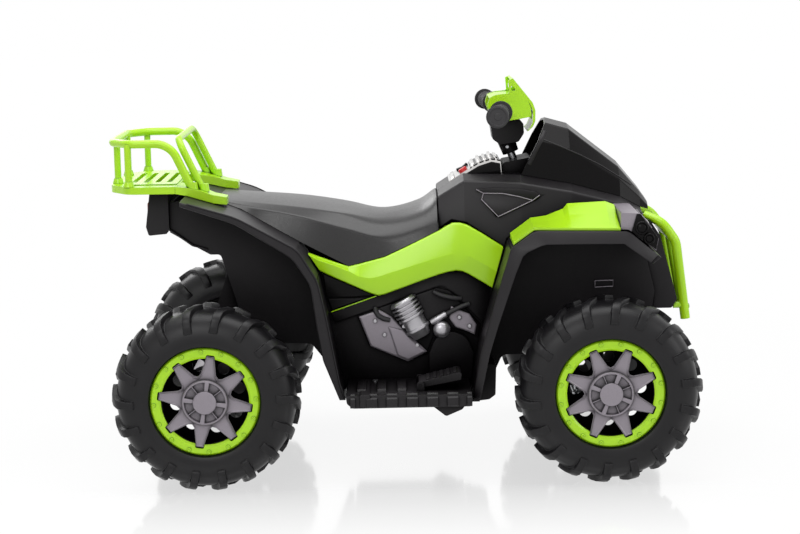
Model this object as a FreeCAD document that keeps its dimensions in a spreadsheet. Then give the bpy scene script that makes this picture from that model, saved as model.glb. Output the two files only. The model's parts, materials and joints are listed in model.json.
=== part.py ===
"""Kids' electric quad bike, as the assembly of its separately made pieces.

Millimetres. +X is forward, +Y is the rider's left and +Z is up.
The origin lies on the ground, under the middle of the overall box.
"""
import FreeCAD
import Part
import math
import os
from FreeCAD import Placement, Rotation, Vector

SIZES = (
    # whole vehicle
    ("wheelbase", 766.0, "rear axle to front axle"),
    ("track", 564.0, "tread centre to tread centre"),
    ("rear_overhang", 195.0, "rear axle to the end of the rack"),
    ("front_overhang", 186.0, "front axle to the face of the bumper"),
    # wheels
    ("tyre_diameter", 360.0, "over the tread blocks"),
    ("tyre_width", 120.0, "over the tread blocks"),
    ("tread_depth", 8.0, "height of a tread block"),
    ("lug_count", 18.0, "tread blocks on each shoulder"),
    ("lug_width", 17.0, "tread block along the circumference"),
    ("ring_diameter", 208.0, "outside of the bolted ring, and the tyre seat"),
    ("ring_bore", 166.0, "opening of the bolted ring"),
    ("ring_thickness", 6.0, "bolted ring"),
    ("ring_bolts", 16.0, "bolt heads on the ring"),
    ("spoke_count", 8.0, "spokes of the hub cap"),
    ("spoke_reach", 89.0, "wheel centre to a spoke tip"),
    ("spoke_tip", 14.0, "width of a spoke at its tip"),
    ("cap_diameter", 92.0, "dome of the hub cap"),
    ("rim_wall", 6.0, "barrel of the rim"),
    ("web_hole", 24.0, "holes in the web of the rim"),
    ("hub_diameter", 48.0, "hub of the rim"),
    ("axle_diameter", 12.0, "wheel axles"),
    ("running_play", 0.08, "radial play of a turning fit"),
    ("fit_gap", 0.4, "gap between moulded pieces"),
    # tub
    ("tub_width", 224.0, "tub between the wheels"),
    ("well_width", 290.0, "tub between the footwells"),
    ("tub_wall", 4.0, "wall of the tub"),
    # footboards and footwell covers
    ("board_width", 600.0, "outer edge to outer edge"),
    ("board_thickness", 23.0, "footboard without its ribs"),
    ("rib_count", 6.0, "ribs on a footboard"),
    ("rib_height", 3.0, "rib above the footboard"),
    ("cover_thickness", 6.0, "plate of the engine cover"),
    ("panel_thickness", 22.0, "side panel"),
    ("panel_edge", 6.0, "rounding of the side panel"),
    # fenders
    ("rear_fender_width", 526.0, "over the rear fender lips"),
    ("front_fender_width", 550.0, "over the front fender lips"),
    ("fender_lip", 12.0, "depth of a fender lip"),
    ("fender_edge", 3.0, "rounding of a fender lip"),
    ("trim_thickness", 7.0, "fender trim"),
    # cowl and nose
    ("cowl_wall", 14.0, "wall of the cowl"),
    ("nose_wall", 5.0, "wall of the nose fairing"),
    ("scoop_depth", 9.0, "side scoop of the cowl"),
    # front end
    ("grille_width", 212.0, "front grille"),
    ("bumper_tube", 19.0, "tube of the bumper"),
    ("bumper_width", 184.0, "between the tube centres"),
    ("lens_diameter", 40.0, "large headlight"),
    ("small_lens_diameter", 28.0, "small headlight"),
    # rear end
    ("rack_width", 324.0, "deck of the rack"),
    ("rack_thickness", 14.0, "deck of the rack"),
    ("rail_tube", 16.0, "tube of the rack rails"),
    ("rail_height", 91.0, "rail above the deck"),
    ("tail_width", 240.0, "tail panel"),
    ("load_pad", 2.0, "raised pad of the rack deck"),
    # seat
    ("seat_width", 228.0, "across the upper crease"),
    ("seat_flare", 300.0, "across the lower edge"),
    # steering
    ("rake", 20.3, "steering column from upright, in degrees"),
    ("column_diameter", 16.0, "steering column"),
    ("crank_pin", 10.0, "pin of the column crank"),
    ("steering_arm", 50.0, "column or kingpin to the tie rod pin"),
    ("kingpin_inset", 82.0, "tread centre to kingpin"),
    ("kingpin_diameter", 10.0, "kingpins"),
    ("bar_width", 520.0, "handlebar over its grips"),
    ("bar_diameter", 22.0, "handlebar tube"),
    ("bar_sweep", 6.5, "grips swept back, in degrees"),
    ("grip_length", 105.0, "grip between its end and the inner flange"),
    ("grip_wall", 5.0, "rubber of a grip"),
    ("cover_width", 116.0, "handlebar cover"),
    # controls
    ("pedal_width", 62.0, "accelerator pedal"),
    ("pedal_pin", 6.0, "hinge pin of the pedal"),
    ("button_diameter", 18.0, "start button"),
    ("rocker_length", 26.0, "direction switch"),
    # drive
    ("battery_length", 151.0, "battery"),
    ("battery_width", 130.0, "battery"),
    ("battery_height", 94.0, "battery"),
    ("motor_diameter", 42.0, "drive motor"),
    ("motor_length", 62.0, "drive motor"),
)

doc = FreeCAD.newDocument("quad_bike")
sheet = doc.addObject("Spreadsheet::Sheet", "Sizes")
for row, (alias, value, meaning) in enumerate(SIZES, start=1):
    sheet.set(f"A{row}", meaning)
    sheet.set(f"B{row}", str(value))
    sheet.setAlias(f"B{row}", alias)
doc.recompute()


def size(alias):
    """Value of one driving dimension."""
    return float(sheet.get(alias))


def count(alias):
    return int(round(size(alias)))


# Places that the driving dimensions give.
rear_axle_x = (size("rear_overhang") - size("wheelbase") - size("front_overhang")) / 2
front_axle_x = rear_axle_x + size("wheelbase")
mid_x = (rear_axle_x + front_axle_x) / 2
tyre_radius = size("tyre_diameter") / 2
axle_z = tyre_radius
half_track = size("track") / 2
half_tyre = size("tyre_width") / 2
gap = size("fit_gap")
half_tub = size("tub_width") / 2
half_well = size("well_width") / 2
REAR_X = "(Sizes.rear_overhang - Sizes.wheelbase - Sizes.front_overhang) / 2"
FRONT_X = "(Sizes.rear_overhang + Sizes.wheelbase - Sizes.front_overhang) / 2"
AXLE_Z = "Sizes.tyre_diameter / 2"


def rear(dx, dz, *radius):
    """Side-view corner measured from the rear axle."""
    return (rear_axle_x + dx, axle_z + dz, *radius)


def mid(dx, dz, *radius):
    """Side-view corner measured from half way between the axles."""
    return (mid_x + dx, axle_z + dz, *radius)


def front(dx, dz, *radius):
    """Side-view corner measured from the front axle."""
    return (front_axle_x + dx, axle_z + dz, *radius)


def bend(points, radii, closed):
    """Lines and arcs along a run of corners, each corner rounded by its radius."""
    total = len(points)
    starts, ends, middles = [], [], []
    for index in range(total):
        corner = points[index]
        is_end = not closed and index in (0, total - 1)
        radius = 0.0 if is_end else radii[index]
        if radius <= 0:
            starts.append(corner)
            ends.append(corner)
            middles.append(None)
            continue
        back = points[index - 1] - corner
        ahead = points[(index + 1) % total] - corner
        reach = 0.48 * min(back.Length, ahead.Length)
        back = back.normalize()
        ahead = ahead.normalize()
        half = back.getAngle(ahead) / 2
        if half > 1.565:
            starts.append(corner)
            ends.append(corner)
            middles.append(None)
            continue
        tangent = min(radius / math.tan(half), reach)
        fitted = tangent * math.tan(half)
        bisector = (back + ahead).normalize()
        centre = corner + bisector * (fitted / math.sin(half))
        starts.append(corner + back * tangent)
        ends.append(corner + ahead * tangent)
        middles.append(centre - bisector * fitted)
    pieces = []
    for index in range(total):
        if middles[index] is not None:
            pieces.append(Part.Arc(starts[index], middles[index], ends[index]))
        if index == total - 1 and not closed:
            break
        following = starts[(index + 1) % total]
        if (following - ends[index]).Length > 1e-6:
            pieces.append(Part.LineSegment(ends[index], following))
    return pieces


def rounded(corners):
    """Closed outline through 2-D corners (u, v) or (u, v, radius)."""
    points = [Vector(corner[0], corner[1], 0) for corner in corners]
    radii = [corner[2] if len(corner) > 2 else 0.0 for corner in corners]
    return bend(points, radii, True)


def circle(u, v, radius):
    return [Part.Circle(Vector(u, v, 0), Vector(0, 0, 1), radius)]


def box_outline(left, low, right, high, radius=0.0):
    return rounded([(left, low, radius), (right, low, radius), (right, high, radius), (left, high, radius)])


def mirrored_section(half):
    """Closed cross-section from its right half, listed from the bottom up."""
    return half + [(-corner[0], *corner[1:]) for corner in reversed(half) if abs(corner[0]) > 1e-6]


def new_body(label):
    body = doc.addObject("PartDesign::Body", label)
    body.Label = label
    return body


def sketch(body, role, outlines, offset=None, turn=None):
    """Sketch on an origin plane of the body, moved along its normal by an expression."""
    plane = [item for item in body.Origin.OriginFeatures if item.Role == role][0]
    drawn = body.newObject("Sketcher::SketchObject", "Sketch")
    drawn.AttachmentSupport = [(plane, "")]
    drawn.MapMode = "FlatFace"
    if turn is not None:
        drawn.AttachmentOffset = Placement(Vector(), turn)
    if offset is not None:
        drawn.setExpression("AttachmentOffset.Base.z", offset)
    for outline in outlines:
        drawn.addGeometry(outline, False)
    return drawn


def side_sketch(body, outlines, offset=None):
    """Sketch in side view; the offset is the distance to the right of the middle."""
    return sketch(body, "XZ_Plane", outlines, offset)


def section_sketch(body, x, corners):
    """Cross-section at the station x."""
    drawn = sketch(body, "YZ_Plane", [rounded(corners)])
    drawn.AttachmentOffset = Placement(Vector(0, 0, x), Rotation())
    return drawn


def pad(body, profile, length, symmetric=False, reverse=False):
    feature = body.newObject("PartDesign::Pad", "Pad")
    feature.Profile = profile
    feature.setExpression("Length", length)
    feature.SideType = "Symmetric" if symmetric else "One side"
    feature.Reversed = reverse
    profile.Visibility = False
    return feature


def pocket(body, profile, length, symmetric=False, reverse=False):
    feature = body.newObject("PartDesign::Pocket", "Pocket")
    feature.Profile = profile
    feature.setExpression("Length", length)
    feature.SideType = "Symmetric" if symmetric else "One side"
    feature.Reversed = reverse
    profile.Visibility = False
    return feature


def revolve(body, profile, kind="Revolution"):
    """Full turn about the horizontal axis of the sketch."""
    feature = body.newObject("PartDesign::" + kind, kind)
    feature.Profile = profile
    feature.ReferenceAxis = (profile, ["H_Axis"])
    feature.Angle = 360
    return feature


def loft(body, sections, kind="AdditiveLoft", ruled=True):
    feature = body.newObject("PartDesign::" + kind, kind)
    feature.Profile = sections[0]
    feature.Sections = sections[1:]
    feature.Ruled = ruled
    return feature


def polar(body, originals, alias):
    """Features repeated round the Y axis."""
    feature = body.newObject("PartDesign::PolarPattern", "PolarPattern")
    feature.Originals = originals
    axis = [item for item in body.Origin.OriginFeatures if item.Role == "Y_Axis"][0]
    feature.Axis = (axis, [""])
    feature.Angle = 360
    feature.setExpression("Occurrences", "Sizes." + alias)
    body.Tip = feature
    return feature


def face_edges(shape, direction):
    """Names of the edges round the flat faces that lie farthest along a direction."""
    flat = []
    for face in shape.Faces:
        if face.Surface.TypeId == "Part::GeomPlane" and face.normalAt(0, 0).dot(direction) > 0.999:
            flat.append(face)
    far = max(face.CenterOfMass.dot(direction) for face in flat)
    names = []
    for face in flat:
        if face.CenterOfMass.dot(direction) < far - 0.01:
            continue
        for edge in face.Edges:
            for number, candidate in enumerate(shape.Edges, start=1):
                if candidate.isSame(edge):
                    names.append(f"Edge{number}")
    return names


def fillet(body, base, names, radius):
    feature = body.newObject("PartDesign::Fillet", "Fillet")
    feature.Base = (base, names)
    feature.setExpression("Radius", radius)
    return feature


def mirrored(source, label):
    """Left-hand piece made as the mirror image of the right-hand one."""
    copy = doc.addObject("Part::Mirroring", label)
    copy.Source = source
    copy.Normal = Vector(0, 1, 0)
    copy.Label = label
    return copy


def feature(label, shape):
    """Piece whose shape is worked out here from the sheet."""
    item = doc.addObject("Part::Feature", label)
    item.Shape = shape
    item.Label = label
    return item


def tube(corners, diameter):
    """Round bar along a run of corners (x, y, z, radius)."""
    points = [Vector(*corner[:3]) for corner in corners]
    radii = [corner[3] if len(corner) > 3 else 0.0 for corner in corners]
    pieces = bend(points, radii, False)
    spine = Part.Wire([piece.toShape() for piece in pieces])
    ahead = points[1] - points[0]
    ring = Part.Wire([Part.Circle(points[0], ahead, diameter / 2).toShape()])
    return spine.makePipeShell([ring], True, False)


def solid_box(x0, y0, z0, x1, y1, z1):
    return Part.makeBox(x1 - x0, y1 - y0, z1 - z0, Vector(x0, y0, z0))


def rod(start, end, diameter):
    ahead = end - start
    return Part.makeCylinder(diameter / 2, ahead.Length, start, ahead)


pieces = []


def keep(item):
    pieces.append(item)
    return item


# Wheel pieces, drawn once round the Y axis with the outer side towards -Y.
ring_radius = size("ring_diameter") / 2
ring_bore = size("ring_bore") / 2
rim_face = half_tyre - 16.5
carcass = tyre_radius - size("tread_depth")
half_carcass = half_tyre - 3.0
lug_pitch = 360.0 / count("lug_count")


def tyre_body():
    body = new_body("wheel_tyre")
    seat = ring_radius + gap
    half = [(-half_carcass + 12, seat), (-half_carcass, seat + 8, 6), (-half_carcass, carcass - 30, 18),
            (-half_carcass + 12, carcass - 6, 14)]
    crown = half + [(0, tyre_radius - 4.0, 200)] + [(-corner[0], *corner[1:]) for corner in reversed(half)]
    revolve(body, sketch(body, "YZ_Plane", [rounded(crown)]))
    block = [(-half_tyre + 16, tyre_radius - 14), (-half_tyre + 16, tyre_radius - 1.5, 6),
             (-half_tyre + 1, tyre_radius - 17, 12), (-half_tyre, tyre_radius - 44, 4),
             (-half_tyre + 9, tyre_radius - 44)]
    half_lug = size("lug_width") / 2
    lean = 0.9 * size("lug_width")
    shoulder_y = half_tyre - 17.0
    for sign, angle in ((1, 0.0), (-1, lug_pitch / 2)):
        outline = [(sign * corner[0], *corner[1:]) for corner in block]
        tilt = Rotation(Vector(1, 0, 0), angle)
        shoulder = pad(body, sketch(body, "YZ_Plane", [rounded(outline)], turn=tilt), "Sizes.lug_width", True)
        spin = Rotation(Vector(0, 0, 1), angle)
        low = carcass - 8.0
        root = sketch(body, "XZ_Plane", [box_outline(-half_lug, low, half_lug, tyre_radius - 1.5)], turn=spin)
        root.AttachmentOffset = Placement(Vector(0, 0, sign * shoulder_y), spin)
        crest = math.sqrt(tyre_radius ** 2 - (lean + half_lug) ** 2)
        tip = sketch(body, "XZ_Plane", [box_outline(lean - half_lug, low, lean + half_lug, crest)])
        tip.AttachmentOffset = Placement(Vector(0, 0, sign * 4.0), spin)
        tread = loft(body, [root, tip])
        polar(body, [shoulder, tread], "lug_count")
    return body


def rim_body():
    body = new_body("wheel_rim")
    bore = size("axle_diameter") / 2 + size("running_play")
    hub = size("hub_diameter") / 2
    back = half_tyre - 8.0
    revolve(body, sketch(body, "YZ_Plane", [box_outline(-rim_face + 2, bore, back, hub)]))
    web = sketch(body, "XZ_Plane", [box_outline(-6, hub - 6, 6, ring_bore + 4)])
    web.AttachmentOffset = Placement(Vector(0, 0, rim_face - 10.0), Rotation())
    polar(body, [pad(body, web, "10")], "spoke_count")
    inner = ring_radius - size("rim_wall")
    barrel = [(-rim_face, ring_bore - 1), (-rim_face, ring_radius), (back - 8, ring_radius),
              (back - 8, inner),
              (-rim_face + 5, inner), (-rim_face + 5, ring_bore - 1)]
    revolve(body, sketch(body, "YZ_Plane", [rounded(barrel)]))
    disc = [(2, hub - 4), (2, ring_radius - 3), (6, ring_radius - 3), (6, hub - 4)]
    revolve(body, sketch(body, "YZ_Plane", [rounded(disc)]))
    half_step = math.pi / count("spoke_count")
    window = circle(62.0 * math.sin(half_step), 62.0 * math.cos(half_step), size("web_hole") / 2)
    hole = sketch(body, "XZ_Plane", [window])
    hole.AttachmentOffset = Placement(Vector(0, 0, 4.0), Rotation())
    polar(body, [pocket(body, hole, "16")], "spoke_count")
    return body


def ring_body():
    body = new_body("wheel_ring")
    outer = -rim_face - gap
    face = outer - size("ring_thickness")
    profile = [(outer, ring_bore), (outer, ring_radius), (face + 3, ring_radius), (face, ring_radius - 4),
               (face, ring_bore + 4), (face + 3, ring_bore)]
    revolve(body, sketch(body, "YZ_Plane", [rounded(profile)]))
    middle = (ring_bore + ring_radius) / 2 + 3.0
    half_step = math.pi / count("ring_bolts")
    bolt = circle(middle * math.sin(half_step), middle * math.cos(half_step), 3.6)
    head = sketch(body, "XZ_Plane", [bolt])
    head.AttachmentOffset = Placement(Vector(0, 0, -face - 1.0), Rotation())
    polar(body, [pad(body, head, "3")], "ring_bolts")
    half_slot = size("spoke_tip") / 2 + 1.2
    notch = box_outline(-half_slot, ring_bore - 6, half_slot, size("spoke_reach") + 1.2, 3)
    slot = sketch(body, "XZ_Plane", [notch])
    slot.AttachmentOffset = Placement(Vector(0, 0, -face + 4.0), Rotation())
    polar(body, [pocket(body, slot, "20")], "spoke_count")
    return body


def cap_body():
    body = new_body("wheel_cap")
    back = -rim_face - gap
    cap = size("cap_diameter") / 2
    profile = [(back, 0), (back, cap), (back - 7, cap), (back - 13, cap - 16), (back - 13, 21.5),
               (back - 15.5, 21), (back - 15.5, 0)]
    revolve(body, sketch(body, "YZ_Plane", [rounded(profile)]))

    def spoke(height, half_width, rise):
        corners = [(-half_width, back), (half_width, back), (half_width, back - 0.55 * rise),
                   (0.55 * half_width, back - rise), (-0.55 * half_width, back - rise),
                   (-half_width, back - 0.55 * rise)]
        drawn = sketch(body, "XY_Plane", [rounded(corners)])
        drawn.AttachmentOffset = Placement(Vector(0, 0, height), Rotation())
        return drawn

    arm = loft(body, [spoke(cap - 10.0, 14.0, 11.0), spoke(size("spoke_reach") - 22.0, 10.0, 9.0),
                      spoke(size("spoke_reach"), size("spoke_tip") / 2, 7.5)])
    polar(body, [arm], "spoke_count")
    return body


wheel_pieces = {"tyre": tyre_body(), "rim": rim_body(), "ring": ring_body(), "cap": cap_body()}
doc.recompute()
REST_TURN = {"rear": 8.6, "front": 22.5}
for end, axle_x, axle_word in (("rear", rear_axle_x, REAR_X), ("front", front_axle_x, FRONT_X)):
    for side, sign in (("right", -1), ("left", 1)):
        facing = Rotation(Vector(0, 0, 1), 0 if sign < 0 else 180)
        turned = facing.multiply(Rotation(Vector(0, 1, 0), REST_TURN[end]))
        for name, body in wheel_pieces.items():
            copy = feature(f"{end}_{side}_{name}", body.Shape.copy())
            copy.Placement = Placement(Vector(axle_x, sign * half_track, axle_z), turned)
            copy.setExpression("Placement.Base.x", axle_word)
            copy.setExpression("Placement.Base.y", f"{sign} * Sizes.track / 2")
            copy.setExpression("Placement.Base.z", AXLE_Z)
            keep(copy)

# Side-view lines that several pieces share.
column_slope = math.tan(math.radians(size("rake")))
arm = size("steering_arm")
pin_z = axle_z - 26.0
column_foot = Vector(front_axle_x - arm + arm / math.cos(math.radians(size("rake"))), 0, pin_z)
column_up = Vector(-math.sin(math.radians(size("rake"))), 0, math.cos(math.radians(size("rake"))))
column_back = Vector(-column_up.z, 0, column_up.x)


def on_column(z):
    """Point of the steering axis at a height."""
    return column_foot + column_up * ((z - column_foot.z) / column_up.z)


seat_base = [rear(15, 354.4), rear(63, 339.6), rear(178, 275.8), mid(-112, 226), mid(-40, 244), mid(30, 276),
             mid(66, 293)]
rear_lip_top = [rear(-42, 371), rear(63, 339, 150), rear(178, 275, 60), rear(214, 215, 80),
                mid(-154, 144, 100), mid(-131, 14, 60), mid(-120.5, -18)]
rear_lip_low = [rear(-42, 362), rear(60, 327, 150), rear(168, 258, 60), rear(201, 205, 60),
                mid(-172, 120, 90), mid(-162, 60, 60), mid(-132, -18)]
front_lip_top = [mid(123, -23), mid(140, 70, 90), mid(170, 175, 120), front(-183, 272, 40),
                 front(-138, 305, 30), front(42, 301, 30), front(103, 250)]
front_lip_low = [mid(137, -23), mid(156, 70, 90), mid(192, 185, 120), front(-161, 260, 40),
                 front(-121, 281, 30), front(32, 280, 30), front(87, 238)]


def blend(first, second, share):
    """Run of corners part of the way from one run to another."""
    mixed = []
    for one, two in zip(first, second):
        point = [one[axis] + share * (two[axis] - one[axis]) for axis in (0, 1)]
        mixed.append((*point, *one[2:]))
    return mixed


def band(outer, inner):
    return rounded(outer + list(reversed(inner)))


# Chassis tub.
tub = keep(new_body("chassis_tub"))
tub_line = [rear(-80, 352), rear(-44, 360), rear(61, 328), rear(168, 263), rear(190, 240),
            mid(-112, 225.4), mid(-40, 243.4), mid(30, 275.4), mid(66, 292), mid(100, 292), front(-197, 260),
            front(-133, 290), front(57, 290), front(81, 270), front(93, 238), front(112, 158),
            front(106, 120),
            front(72, 35, 20), front(-193, 35, 15), mid(165, -20, 15), mid(-125, -20, 15), rear(193, 65, 15),
            rear(63, 70, 15), rear(48, 150, 40), rear(18, 248, 8), rear(-2, 248, 8), rear(-37, 268, 20),
            rear(-80, 294)]
pad(tub, side_sketch(tub, [rounded(tub_line)]), "Sizes.tub_width", symmetric=True)
well_line = [mid(-166, 90), mid(-125, -20), mid(160, -20), mid(160, 258), mid(100, 290), mid(66, 291.4),
             mid(30, 275.4),
             mid(-40, 243.4), mid(-112, 225.4), mid(-166, 235)]
pad(tub, side_sketch(tub, [rounded(well_line)]), "Sizes.well_width", symmetric=True)
hanger_line = [rear(31, 215), rear(61, 76), rear(85, 72), rear(38, -15), rear(0, -28, 26), rear(-34, -14, 22),
               rear(-26, 50, 20)]
for plane in ("83", "-95"):
    pad(tub, side_sketch(tub, [rounded(hanger_line)], plane), "12")
dome_line = [mid(44, -1.6), mid(44, 50), mid(57, 82), mid(87, 94), mid(117, 82), mid(131, 50),
             mid(126, -1.6)]
dome_line = [(*corner[:2], 30) if index in (2, 3, 4) else corner for index, corner in enumerate(dome_line)]
for plane, reverse in (("Sizes.well_width / 2 - 2", False), ("-Sizes.well_width / 2 + 2", True)):
    pad(tub, side_sketch(tub, [rounded(dome_line)], plane), "16", reverse=reverse)
hollow_line = [rear(-74, 460), rear(-74, 299), rear(-35, 274), rear(-1, 254), rear(22, 254), rear(55, 150),
               rear(68, 76), rear(197, 71), mid(-121, -15), mid(161, -15), front(-196, 40), front(68, 40),
               front(99, 122),
               front(105, 157), front(88, 236), front(76, 267), front(76, 460)]
pocket(tub, side_sketch(tub, [rounded(hollow_line)]), "Sizes.tub_width - 2 * Sizes.tub_wall", symmetric=True)
room = [mid(-161, 460), mid(-161, 95), mid(-121, -15), mid(155, -15), mid(155, 460)]
pocket(tub, side_sketch(tub, [rounded(room)]), "Sizes.well_width - 2 * Sizes.tub_wall", symmetric=True)
axle_hole = circle(rear_axle_x, axle_z, size("axle_diameter") / 2 + 0.02)
pocket(tub, side_sketch(tub, [axle_hole]), "Sizes.tub_width", symmetric=True)
motor_x = rear_axle_x + 62.0
motor_z = axle_z + 34.0
motor_hole = circle(motor_x, motor_z, size("motor_diameter") / 2 + gap)
pocket(tub, side_sketch(tub, [motor_hole]), "Sizes.tub_width", symmetric=True)
floor_x = on_column(axle_z + 37.5).x
slot = box_outline(floor_x - 14, -9, floor_x + 14, 9, 8.9)
tub.Tip = pocket(tub, sketch(tub, "XY_Plane", [slot], offset=f"{AXLE_Z} + 60"), "40")

# Footboards; the right-hand one carries the pedal hinge.
board = keep(new_body("footboard_right"))
board_line = [mid(-119, -2, 2), mid(-117, -17, 8), mid(-106, -26, 8), mid(118, -26, 3), mid(122, -22, 3),
              mid(122, -2, 3)]
INNER = "Sizes.well_width / 2 + Sizes.fit_gap"
pad(board, side_sketch(board, [rounded(board_line)], INNER), f"Sizes.board_width / 2 - ({INNER})")
rib_start = mid_x - 92.0
rib_pitch = 38.0
rib = box_outline(rib_start, axle_z - 24, rib_start + 19, axle_z - 2 + size("rib_height"), 2)
RIB = "Sizes.board_width / 2 + Sizes.rib_height"
rib_pad = pad(board, side_sketch(board, [rib], INNER + " + 16"), f"{RIB} - ({INNER}) - 16")
ribs = board.newObject("PartDesign::LinearPattern", "Ribs")
ribs.Originals = [rib_pad]
ribs.Direction = ([item for item in board.Origin.OriginFeatures if item.Role == "X_Axis"][0], [""])
ribs.Length = rib_pitch * (count("rib_count") - 1)
ribs.setExpression("Occurrences", "Sizes.rib_count")
keep(mirrored(ribs, "footboard_left"))
pedal_y = 232.0
pedal_x = mid_x + 24.0
pedal_z = axle_z + 9.0
ear = [(pedal_x - 8, axle_z - 6), (pedal_x + 8, axle_z - 6), (pedal_x + 7, pedal_z + 7, 6),
       (pedal_x - 7, pedal_z + 7, 6)]
half_pedal = size("pedal_width") / 2
for start in (pedal_y - half_pedal - 6.5, pedal_y + half_pedal + 0.5):
    pad(board, side_sketch(board, [rounded(ear)], str(start)), "6")
switch_line = [mid(42, -24), mid(72, -48, 6), mid(103, -35, 4), mid(112, -24)]
pad(board, side_sketch(board, [rounded(switch_line)], "Sizes.well_width / 2 + 60"), "80")
pin_hole = circle(pedal_x, pedal_z, size("pedal_pin") / 2 + size("running_play"))
board.Tip = pocket(board, side_sketch(board, [pin_hole], "Sizes.board_width / 2"), "Sizes.board_width / 2")

# Accelerator pedal.
pedal = keep(new_body("accelerator_pedal"))
pedal_line = [(pedal_x - 4.5, pedal_z - 3.5, 3), (pedal_x + 8, pedal_z - 4), (pedal_x + 78, pedal_z + 9),
              (pedal_x + 80, pedal_z + 22, 4), (pedal_x + 73, pedal_z + 23, 4), (pedal_x - 3, pedal_z + 5, 3)]
half_pin = size("pedal_pin") / 2
pad(pedal, side_sketch(pedal, [rounded(pedal_line)], str(pedal_y - half_pedal)), "Sizes.pedal_width")
pin_start = pedal_y - half_pedal - 6.0
pad(pedal, side_sketch(pedal, [circle(pedal_x, pedal_z, half_pin)], str(pin_start)), "Sizes.pedal_width + 12")
for step in range(5):
    left = pedal_x + 12 + 13.0 * step
    low = pedal_z + 6 + 3.1 * step
    cleat = rounded([(left, low), (left + 6, low + 1.4), (left + 6, low + 6.0), (left, low + 4.6)])
    pad(pedal, side_sketch(pedal, [cleat], str(pedal_y - half_pedal + 5)), "Sizes.pedal_width - 10")

# Dummy engine cover.
cover_y = -(half_well + gap)
cover_line = [mid(-98, 126, 6), mid(62, 180, 6), mid(86, 174, 6), mid(147, 104, 6), mid(141, 78, 4),
              mid(121, 88, 20), mid(87, 98, 30), mid(54, 87, 30), mid(41, 54, 6), mid(40, 46, 4),
              mid(0, 31, 6), mid(-74, 63, 8)]
plate_face = Part.Face(Part.Wire([item.toShape() for item in rounded(cover_line)]))
plate_face.rotate(Vector(), Vector(1, 0, 0), 90)
plate_face.translate(Vector(0, cover_y, 0))
plate = plate_face.extrude(Vector(0, -size("cover_thickness"), 0))
barrel_low = Vector(mid_x + 50, cover_y - 4, axle_z + 104)
barrel_high = Vector(mid_x + 4, cover_y - 4, axle_z + 148)
along = (barrel_high - barrel_low).normalize()
relief = [rod(barrel_low, barrel_high, 30.0)]
for step in range(5):
    foot = barrel_low + along * (20.0 + 9.0 * step)
    relief.append(rod(foot, foot + along * 4.0, 42.0))
block_mid = Vector(mid_x - 26, cover_y, axle_z + 84)
relief.append(rod(block_mid, block_mid + Vector(0, -14, 0), 56.0))
relief.append(rod(block_mid, block_mid + Vector(0, -18, 0), 34.0))
relief.append(tube([(mid_x + 50, cover_y - 6, axle_z + 112), (mid_x + 72, cover_y - 6, axle_z + 128, 20),
                    (mid_x + 112, cover_y - 6, axle_z + 134)], 12.0))
relief.append(tube([(mid_x - 66, cover_y - 5, axle_z + 112), (mid_x - 30, cover_y - 5, axle_z + 128, 20),
                    (mid_x + 10, cover_y - 5, axle_z + 126)], 9.0))
engine_shape = plate.multiFuse(relief)
behind_plate = solid_box(mid_x - 300, cover_y, axle_z - 100, mid_x + 300, cover_y + 60, axle_z + 300)
engine_shape = engine_shape.cut(behind_plate)
engine_shape = engine_shape.removeSplitter()
engine = keep(feature("engine_cover_right", engine_shape))
keep(mirrored(engine, "engine_cover_left"))

# Side panels.
panel = keep(new_body("side_panel_right"))
panel_line = [rear(193, 253.5, 4), mid(-112, 224.8, 8), mid(-40, 242.8, 10), mid(30, 275), mid(66, 292.2, 4),
              mid(92, 310, 14), mid(122, 304.5, 14), mid(193, 258, 4), mid(169, 178.5, 5), mid(120, 210.5, 12),
              mid(98, 216, 16), mid(65, 208.5, 20), mid(-55, 166.5, 14), mid(-169.5, 219.5, 6)]
panel_pad = pad(panel, side_sketch(panel, [rounded(panel_line)], INNER), "Sizes.panel_thickness")
doc.recompute()
fillet(panel, panel_pad, face_edges(panel_pad.Shape, Vector(0, -1, 0)), "Sizes.panel_edge")
keep(mirrored(panel, "side_panel_left"))

# Seat, laid through cross-sections.
seat = keep(new_body("seat"))
half_seat = size("seat_width") / 2
half_flare = size("seat_flare") / 2
seat_rise = ((355.4, 356.6, 357.4, 0.84, 0.66), (347, 351, 353.5, 0.96, 0.84), (325, 339, 341.5, 1.1, 1.0),
             (298, 324, 325.5, 1.12, 1.0), (281, 309, 316.5, 1.18, 1.0), (302, 324, 332.5, 1.12, 0.99),
             (318, 345, 357, 1.06, 0.97))
sections = []
for base, (fold, crease, top, spread, flare) in zip(seat_base, seat_rise):
    half = [(-flare * half_flare, base[1]), (-spread * half_seat, axle_z + fold, 8),
            (-0.86 * spread * half_seat, axle_z + crease, 12), (-0.45 * half_seat, axle_z + top, 40)]
    sections.append(section_sketch(seat, base[0], mirrored_section(half)))
loft(seat, sections)

# Rear fender: two lips with their struts, the skins behind them and the deck between.
fender = keep(new_body("rear_fender"))
lip = band(rear_lip_top, rear_lip_low)
skin_low = blend(rear_lip_top, rear_lip_low, 0.42)
upper_skin = band(rear_lip_top[:4], skin_low[:4])
lower_skin = band(rear_lip_top[3:], skin_low[3:])
deck = band(rear_lip_top[:3], skin_low[:3])
TUB = "Sizes.tub_width / 2 + Sizes.fit_gap"
LIP = "Sizes.rear_fender_width / 2"
SKIN = f"({LIP} - Sizes.fender_edge - 1)"
pad(fender, side_sketch(fender, [deck]), f"2 * {SKIN}", symmetric=True)
for sign, reverse in (("", False), ("-", True)):
    pad(fender, side_sketch(fender, [upper_skin], f"{sign}({TUB})"), f"{SKIN} - ({TUB})", reverse=reverse)
    pad(fender, side_sketch(fender, [lower_skin], f"{sign}({INNER})"), f"{SKIN} - ({INNER})", reverse=reverse)
    rim = pad(fender, side_sketch(fender, [lip], f"{sign}({LIP} - Sizes.fender_lip)"), "Sizes.fender_lip",
              reverse=reverse)
doc.recompute()
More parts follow.
